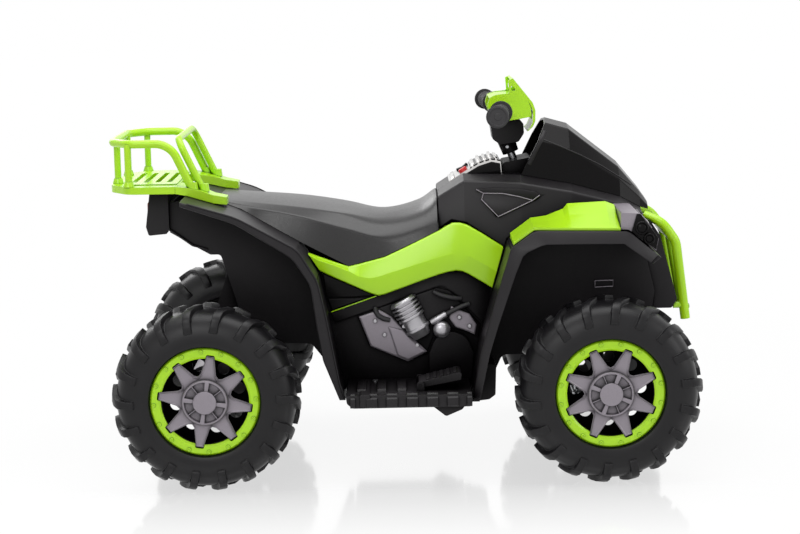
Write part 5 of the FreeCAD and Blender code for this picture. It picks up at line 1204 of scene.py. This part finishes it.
# %% Ribs and gaps of the dash
# Place, half width and height of each rib; its trapezoid; its taper across the dash.
RIBS = ((98, 5, 3.0), (138, 5, 5.0), (150, 5, 5.5), (162, 4, 4.5), (173, 5, 6.0), (185, 5, 4.5))
TRAPEZOID = ((-1, -0.4), (-0.5, 1), (0.5, 1), (1, -0.4))
TAPER = ((-54, 0.55), (-46, 1.0), (46, 1.0), (54, 0.55))
ribs = []
for x, wide, high in RIBS:
    sections = [[(x + middle + aside * wide * share, y, dash_top(x + aside * wide) + lift * high * share)
                 for aside, lift in TRAPEZOID] for y, share in TAPER]
    rib = pulled_through("dash_rib", sections)
    soft_edges(rib, 0.6, 30)
    smoothed(rib, 30)
    ribs.append(rib)
handed_over(joined("dash_ribs", ribs), "plated_plastic", "chassis")
gaps = []
for low, high in ((133, 136), (140, 148), (152, 160), (164, 171), (175, 183), (187, 193)):
    gaps.append(pulled_through("dash_gap", [[(x + middle, y, dash_top(x) + lift) for x, lift in (
        (low, -2), (low, 0.7), (high, 0.7), (high, -2))] for y in (-56.5, 56.5)]))
handed_over(joined("dash_gaps", gaps), "gloss_black", "chassis")
DASH_SIDE = -57.4
cheek = slab("dash_cheek", [(x, DASH_SIDE, z) for x, z in (
    (94, 556), (150, 588.5), (176, 596.5), (193, 593), (195, 572), (150, 566))], 1.2)
both_sides(cheek, "gloss_black")
print("dash ribs", len(ribs), "gaps", len(gaps))

# %% [markdown]
# ## Grip ends and the screw
# Each grip ends in a disc with a raised rim, a profile turned about the axis of the grip, which is swept back
# a little. One bright screw with a hollow in its head holds the shroud of the column on each side.

# %% Grip ends and the screw
GRIP_SWEEP, END_RADIUS = math.radians(6.5), 22.4
END_DISC = ((20.6, -5), (20.6, 0.0), (19.2, 1.2), (16.6, 1.2), (15.4, 0.2), (7.0, 0.2), (6.0, 1.0),
            (1.0, 1.2))
SCREW = ((3.6, 1.5), (3.6, -0.8), (2.8, -1.8), (1.2, -1.9), (1.0, -1.2))
grip_low, grip_high = (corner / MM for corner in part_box("grip_right"))
grip_axis = Vector((-math.sin(GRIP_SWEEP), -math.cos(GRIP_SWEEP), 0))
grip_side = Vector((math.cos(GRIP_SWEEP), -math.sin(GRIP_SWEEP), 0))
grip_end = Vector((grip_low.x + END_RADIUS * math.cos(GRIP_SWEEP),
                   grip_low.y + END_RADIUS * math.sin(GRIP_SWEEP), (grip_low.z + grip_high.z) / 2))
end_disc = turned("grip_end_disc", grip_end, END_DISC, 40, grip_axis, grip_side)
smoothed(end_disc, 35)
both_sides(end_disc, "grip_rubber", "steering")
screw_spot = on_face("column_shroud", 210, 622)[0]
screw = turned("shroud_screw", screw_spot, SCREW, 20)
smoothed(screw, 35)
both_sides(screw, "bare_steel", "steering")
print("grip end at", [round(value, 1) for value in grip_end])

# %% [markdown]
# ## Small lines in the wheel wells
# A slot moulded into the wall of the front well and the lit lower edge of the tail read as thin pale lines.
# Each is a narrow round section pulled along its run.

# %% Small lines in the wheel wells
WELL_WALL, SLOT_RADIUS = -112.6, 1.2
SLOT_RUN = ((376, 361), (412, 361.5), (412, 349.5), (376, 348), (376, 361))
TAIL_RUN = ((-464, -114, 480), (-440, -114, 463), (-419, -113, 447.5), (-390, -113, 439))
slot = hose("well_slot_highlight", [(x, WELL_WALL, z) for x, z in SLOT_RUN], [SLOT_RADIUS] * len(SLOT_RUN))
flap = hose("tail_edge", TAIL_RUN, [2.2, 2.4, 2.4, 1.8])
# The slot is a round bead in pale grey paint: a painted highlight on the black wall of the well.
both_sides(slot, "grey_plastic")
both_sides(flap, "black_plastic")
print("lines", slot.name, flap.name)

# %% [markdown]
# ## Lamp bezels and the rear lip
# The front of each lamp surround is a black bezel with a rim round every lens; it lies on the sloped face, so
# its corners are worked out along that slope. The rear fender ends in a rolled edge that draws a thin bright
# line down to the footboard: a round section pulled along the rounded lip.

# %% Face of the lamps
slope_low, slope_high = Vector((482, 0, 466)), Vector((445, 0, 514))
up_slope = (slope_high - slope_low).normalized()
off_slope = Vector((up_slope.z, 0, -up_slope.x))
slope_middle = (slope_low + slope_high) / 2


def on_slope(y, along, lift):
    """Point on the sloped lamp face: place across, distance up from its middle, lift off it."""
    spot = slope_middle + up_slope * along + off_slope * lift
    return spot.x + middle, y, spot.z


print("lamp face leans", round(math.degrees(math.atan2(-up_slope.x, up_slope.z)), 1), "degrees")

# %% Lamp bezels
bezel = pulled_through("lamp_bezel", [[on_slope(y, along, lift) for y, along in (
    (-113 - inset, -26 + inset), (-262 + inset, -26 + inset), (-262 + inset, 22 - inset), (-236, 26 - inset),
    (-113 - inset, 26 - inset))] for inset, lift in ((0.0, -1.5), (0.0, 0.4), (1.2, 0.9))])
soft_edges(bezel, 0.4, 25)
rims = []
for y, radius in ((-165, 20.0), (-213, 14.0)):
    shape = ((radius + 3, 0.0), (radius + 3, 2.6), (radius + 2, 3.4), (radius + 0.6, 3.4),
             (radius - 1.5, 1.0))
    rim = turned("lens_rim", on_slope(y, 0, 0), shape, 36, off_slope, Y_AXIS, up_slope)
    # The end faces go, so that the lens shows through the rim.
    begin_edit(rim, "FACE")
    mesh = bmesh.from_edit_mesh(rim.data)
    for face in mesh.faces:
        face.select_set(len(face.verts) > 4)
    bpy.ops.mesh.delete(type="FACE")
    end_edit()
    smoothed(rim, 35)
    rims.append(rim)
both_sides(joined("lens_rims", rims), "grey_plastic")
both_sides(bezel, "gloss_black")
print("bezel", bezel.name)

# %% Rolled edge of the rear lip
ROLL_SIDE, ROLL_RADIUS = -262.4, 1.7
LIP_CORNERS = ((-412, 547.2), (-320, 519), (-205, 455), (-169, 395), (-154, 324), (-131, 194), (-122, 166))
lip_run = rounded_corners(LIP_CORNERS, [16, 16, 13.4, 2, 2], 5)
rolled = hose("rear_lip_roll", [(spot.x, ROLL_SIDE, spot.y) for spot in lip_run],
              [ROLL_RADIUS] * len(lip_run))
both_sides(rolled, "black_plastic")
print("rolled edge points", len(lip_run))
